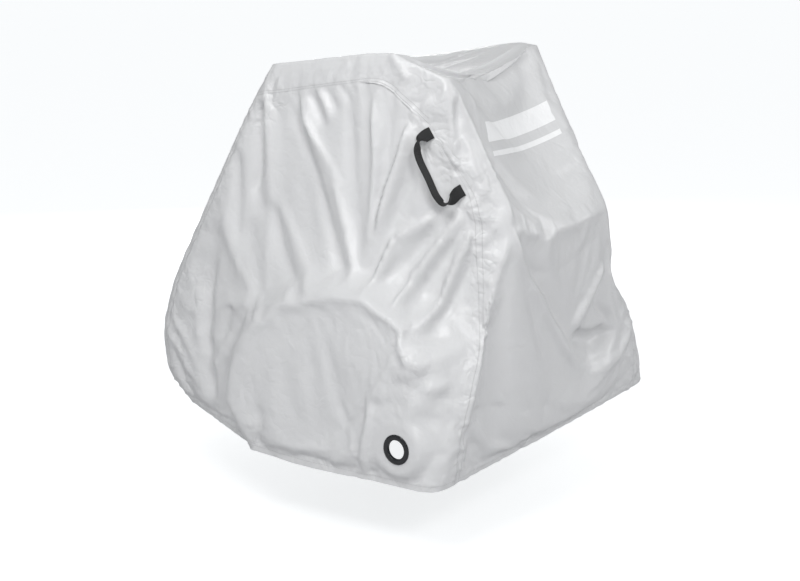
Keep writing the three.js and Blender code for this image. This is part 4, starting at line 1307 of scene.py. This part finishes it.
def cloth_material(weave, crush):
    """Silver-grey coated cloth: a satin coat, a fine weave, stitches darkened with painted shade, and finely
    crushed creases.
    """
    material, tree, shader = new_material("coated_cloth", Roughness=0.38, Specular_IOR_Level=0.6)
    object_place, cut, place = tree.place(), tree.uv("cut"), tree.uv("place")
    stitches = stitch_mask(tree, cut, place)
    clouds = tree.add("TexNoise", {"Scale": CLOUDS, "Vector": object_place}).outputs["Fac"]
    colour = tree.mixed(clouds, CLOTH_COLOUR, CLOTH_DEEPER)
    colour = tree.mixed(bars_mask(tree, place), colour, PRINT_COLOUR)
    # Painted shade: the stitches are darkened to stand in for the shade in their dents.
    colour = tree.mixed(stitches, colour, STITCH_PAINTED_SHADE)
    crushed = tree.add("Attribute", {}, attribute_name="crushed").outputs["Fac"]
    facets = tree.height(crush, Place=object_place, Facets=FACETS)
    normal = tree.bump(facets, FACET_HEIGHT, crushed)
    threads = tree.height(weave, Place=cut, Across=CLOTH_THREADS, Along=CLOTH_THREADS)
    normal = tree.bump(threads, WEAVE_HEIGHT, 0.5, Normal=normal)
    normal = tree.bump(stitches, STITCH_HEIGHT, 0.8, Normal=normal)
    tree.feed(shader, {"Base Color": colour, "Normal": normal})
    return material


def make_camera():
    data = bpy.data.cameras.new("camera")
    data.sensor_width = SENSOR_MM
    data.sensor_fit = "HORIZONTAL"
    data.lens = SENSOR_MM * FOCAL_PX / PHOTO_WIDTH_PX
    camera = new_object("camera", data)
    turn = Matrix.Rotation(CAMERA_TURN, 4, "Z") @ Matrix.Rotation(math.pi / 2 - CAMERA_HEIGHT_ANGLE, 4, "X")
    camera.matrix_world = Matrix.Translation(Vector((CAMERA_PLACE - REST) * MM)) @ turn
    bpy.context.scene.camera = camera


# The pale studio: the background's colour, the sky's colour and how much of it lights the cloth,
# the floor's colour as the camera sees it and as it throws light back, and how much it glows.
BACKGROUND = (0.945, 0.96, 0.968, 1)
SKY_COLOUR, SKY_LIGHT = (0.97, 0.985, 1, 1), 0.46
FLOOR_PALE, FLOOR_BOUNCE = (0.40, 0.405, 0.41, 1), (0.66, 0.66, 0.67, 1)
FLOOR_GLOW = 0.80
FLOOR_HALF = 40


def make_floor():
    """A pale floor that the camera sees almost white, and that throws back less light than it shows."""
    floor = bmesh.new()
    bmesh.ops.create_grid(floor, x_segments=1, y_segments=1, size=FLOOR_HALF)
    bmesh.ops.translate(floor, verts=floor.verts, vec=(0, 0, -REST[2] * MM))
    piece = new_piece("floor", floor)
    material, tree, seen = new_material(
        "floor", Base_Color=FLOOR_PALE, Roughness=0.9,
        Emission_Color=BACKGROUND, Emission_Strength=FLOOR_GLOW)
    thrown = tree.add("BsdfDiffuse", {"Color": FLOOR_BOUNCE})
    tree.by_ray(seen.outputs["BSDF"], thrown.outputs["BSDF"], "Material Output")
    piece.data.materials.append(material)


def make_world():
    world = bpy.data.worlds.new("studio")
    bpy.context.scene.world = world
    world.use_nodes = True
    tree = NodeTree(world.node_tree)
    sky = tree.nodes["Background"]
    tree.feed(sky, {"Color": SKY_COLOUR, "Strength": SKY_LIGHT})
    seen = tree.add("Background", {"Color": BACKGROUND})
    tree.by_ray(seen.outputs["Background"], sky.outputs["Background"], "World Output")


class Lamp(NamedTuple):
    """A square lamp: its place, what it is aimed at and its size in metres, and its power in watts."""
    place: tuple
    aim: tuple
    size: float
    power: float


LAMPS = {
    "left of the camera": Lamp((0.4, -2.1, 1.75), (0, 0, -0.3), 1.1, 35),
    "right of the camera": Lamp((3.0, -2.6, 1.8), (0, 0, -0.4), 0.8, 50),
    "behind right": Lamp((2.4, 2.2, 1.0), (0.1, 0, -0.3), 1.0, 20),
    "behind left": Lamp((-2.6, 2.6, 0.0), (0, 0, -0.4), 1.2, 34),
}


def make_lights():
    for name, row in LAMPS.items():
        data = bpy.data.lights.new(name, "AREA")
        data.size = row.size
        data.energy = row.power
        lamp = new_object(name, data)
        turn = (Vector(row.aim) - Vector(row.place)).to_track_quat("-Z", "Y").to_matrix().to_4x4()
        lamp.matrix_world = Matrix.Translation(row.place) @ turn


make_camera()
make_floor()
make_world()
make_lights()
weave = weave_group()
cloth = cloth_material(weave, crush_group())
panels = cut_panels(cover_skin())
for panel, piece in panels.items():
    piece.data.materials.append(cloth)
    add_thickness(piece)
    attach(piece, "root")
    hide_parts(PANELS[panel])

eyelet = eyelet_piece()
handle = handle_piece(webbing_material(weave))
for piece, node, slot in ((eyelet, "eyelet_ring", "eyelet"), (handle, "webbing_handle", "webbing")):
    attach(piece, "root")
    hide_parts(node)

bpy.context.scene.view_settings.view_transform = "Standard"
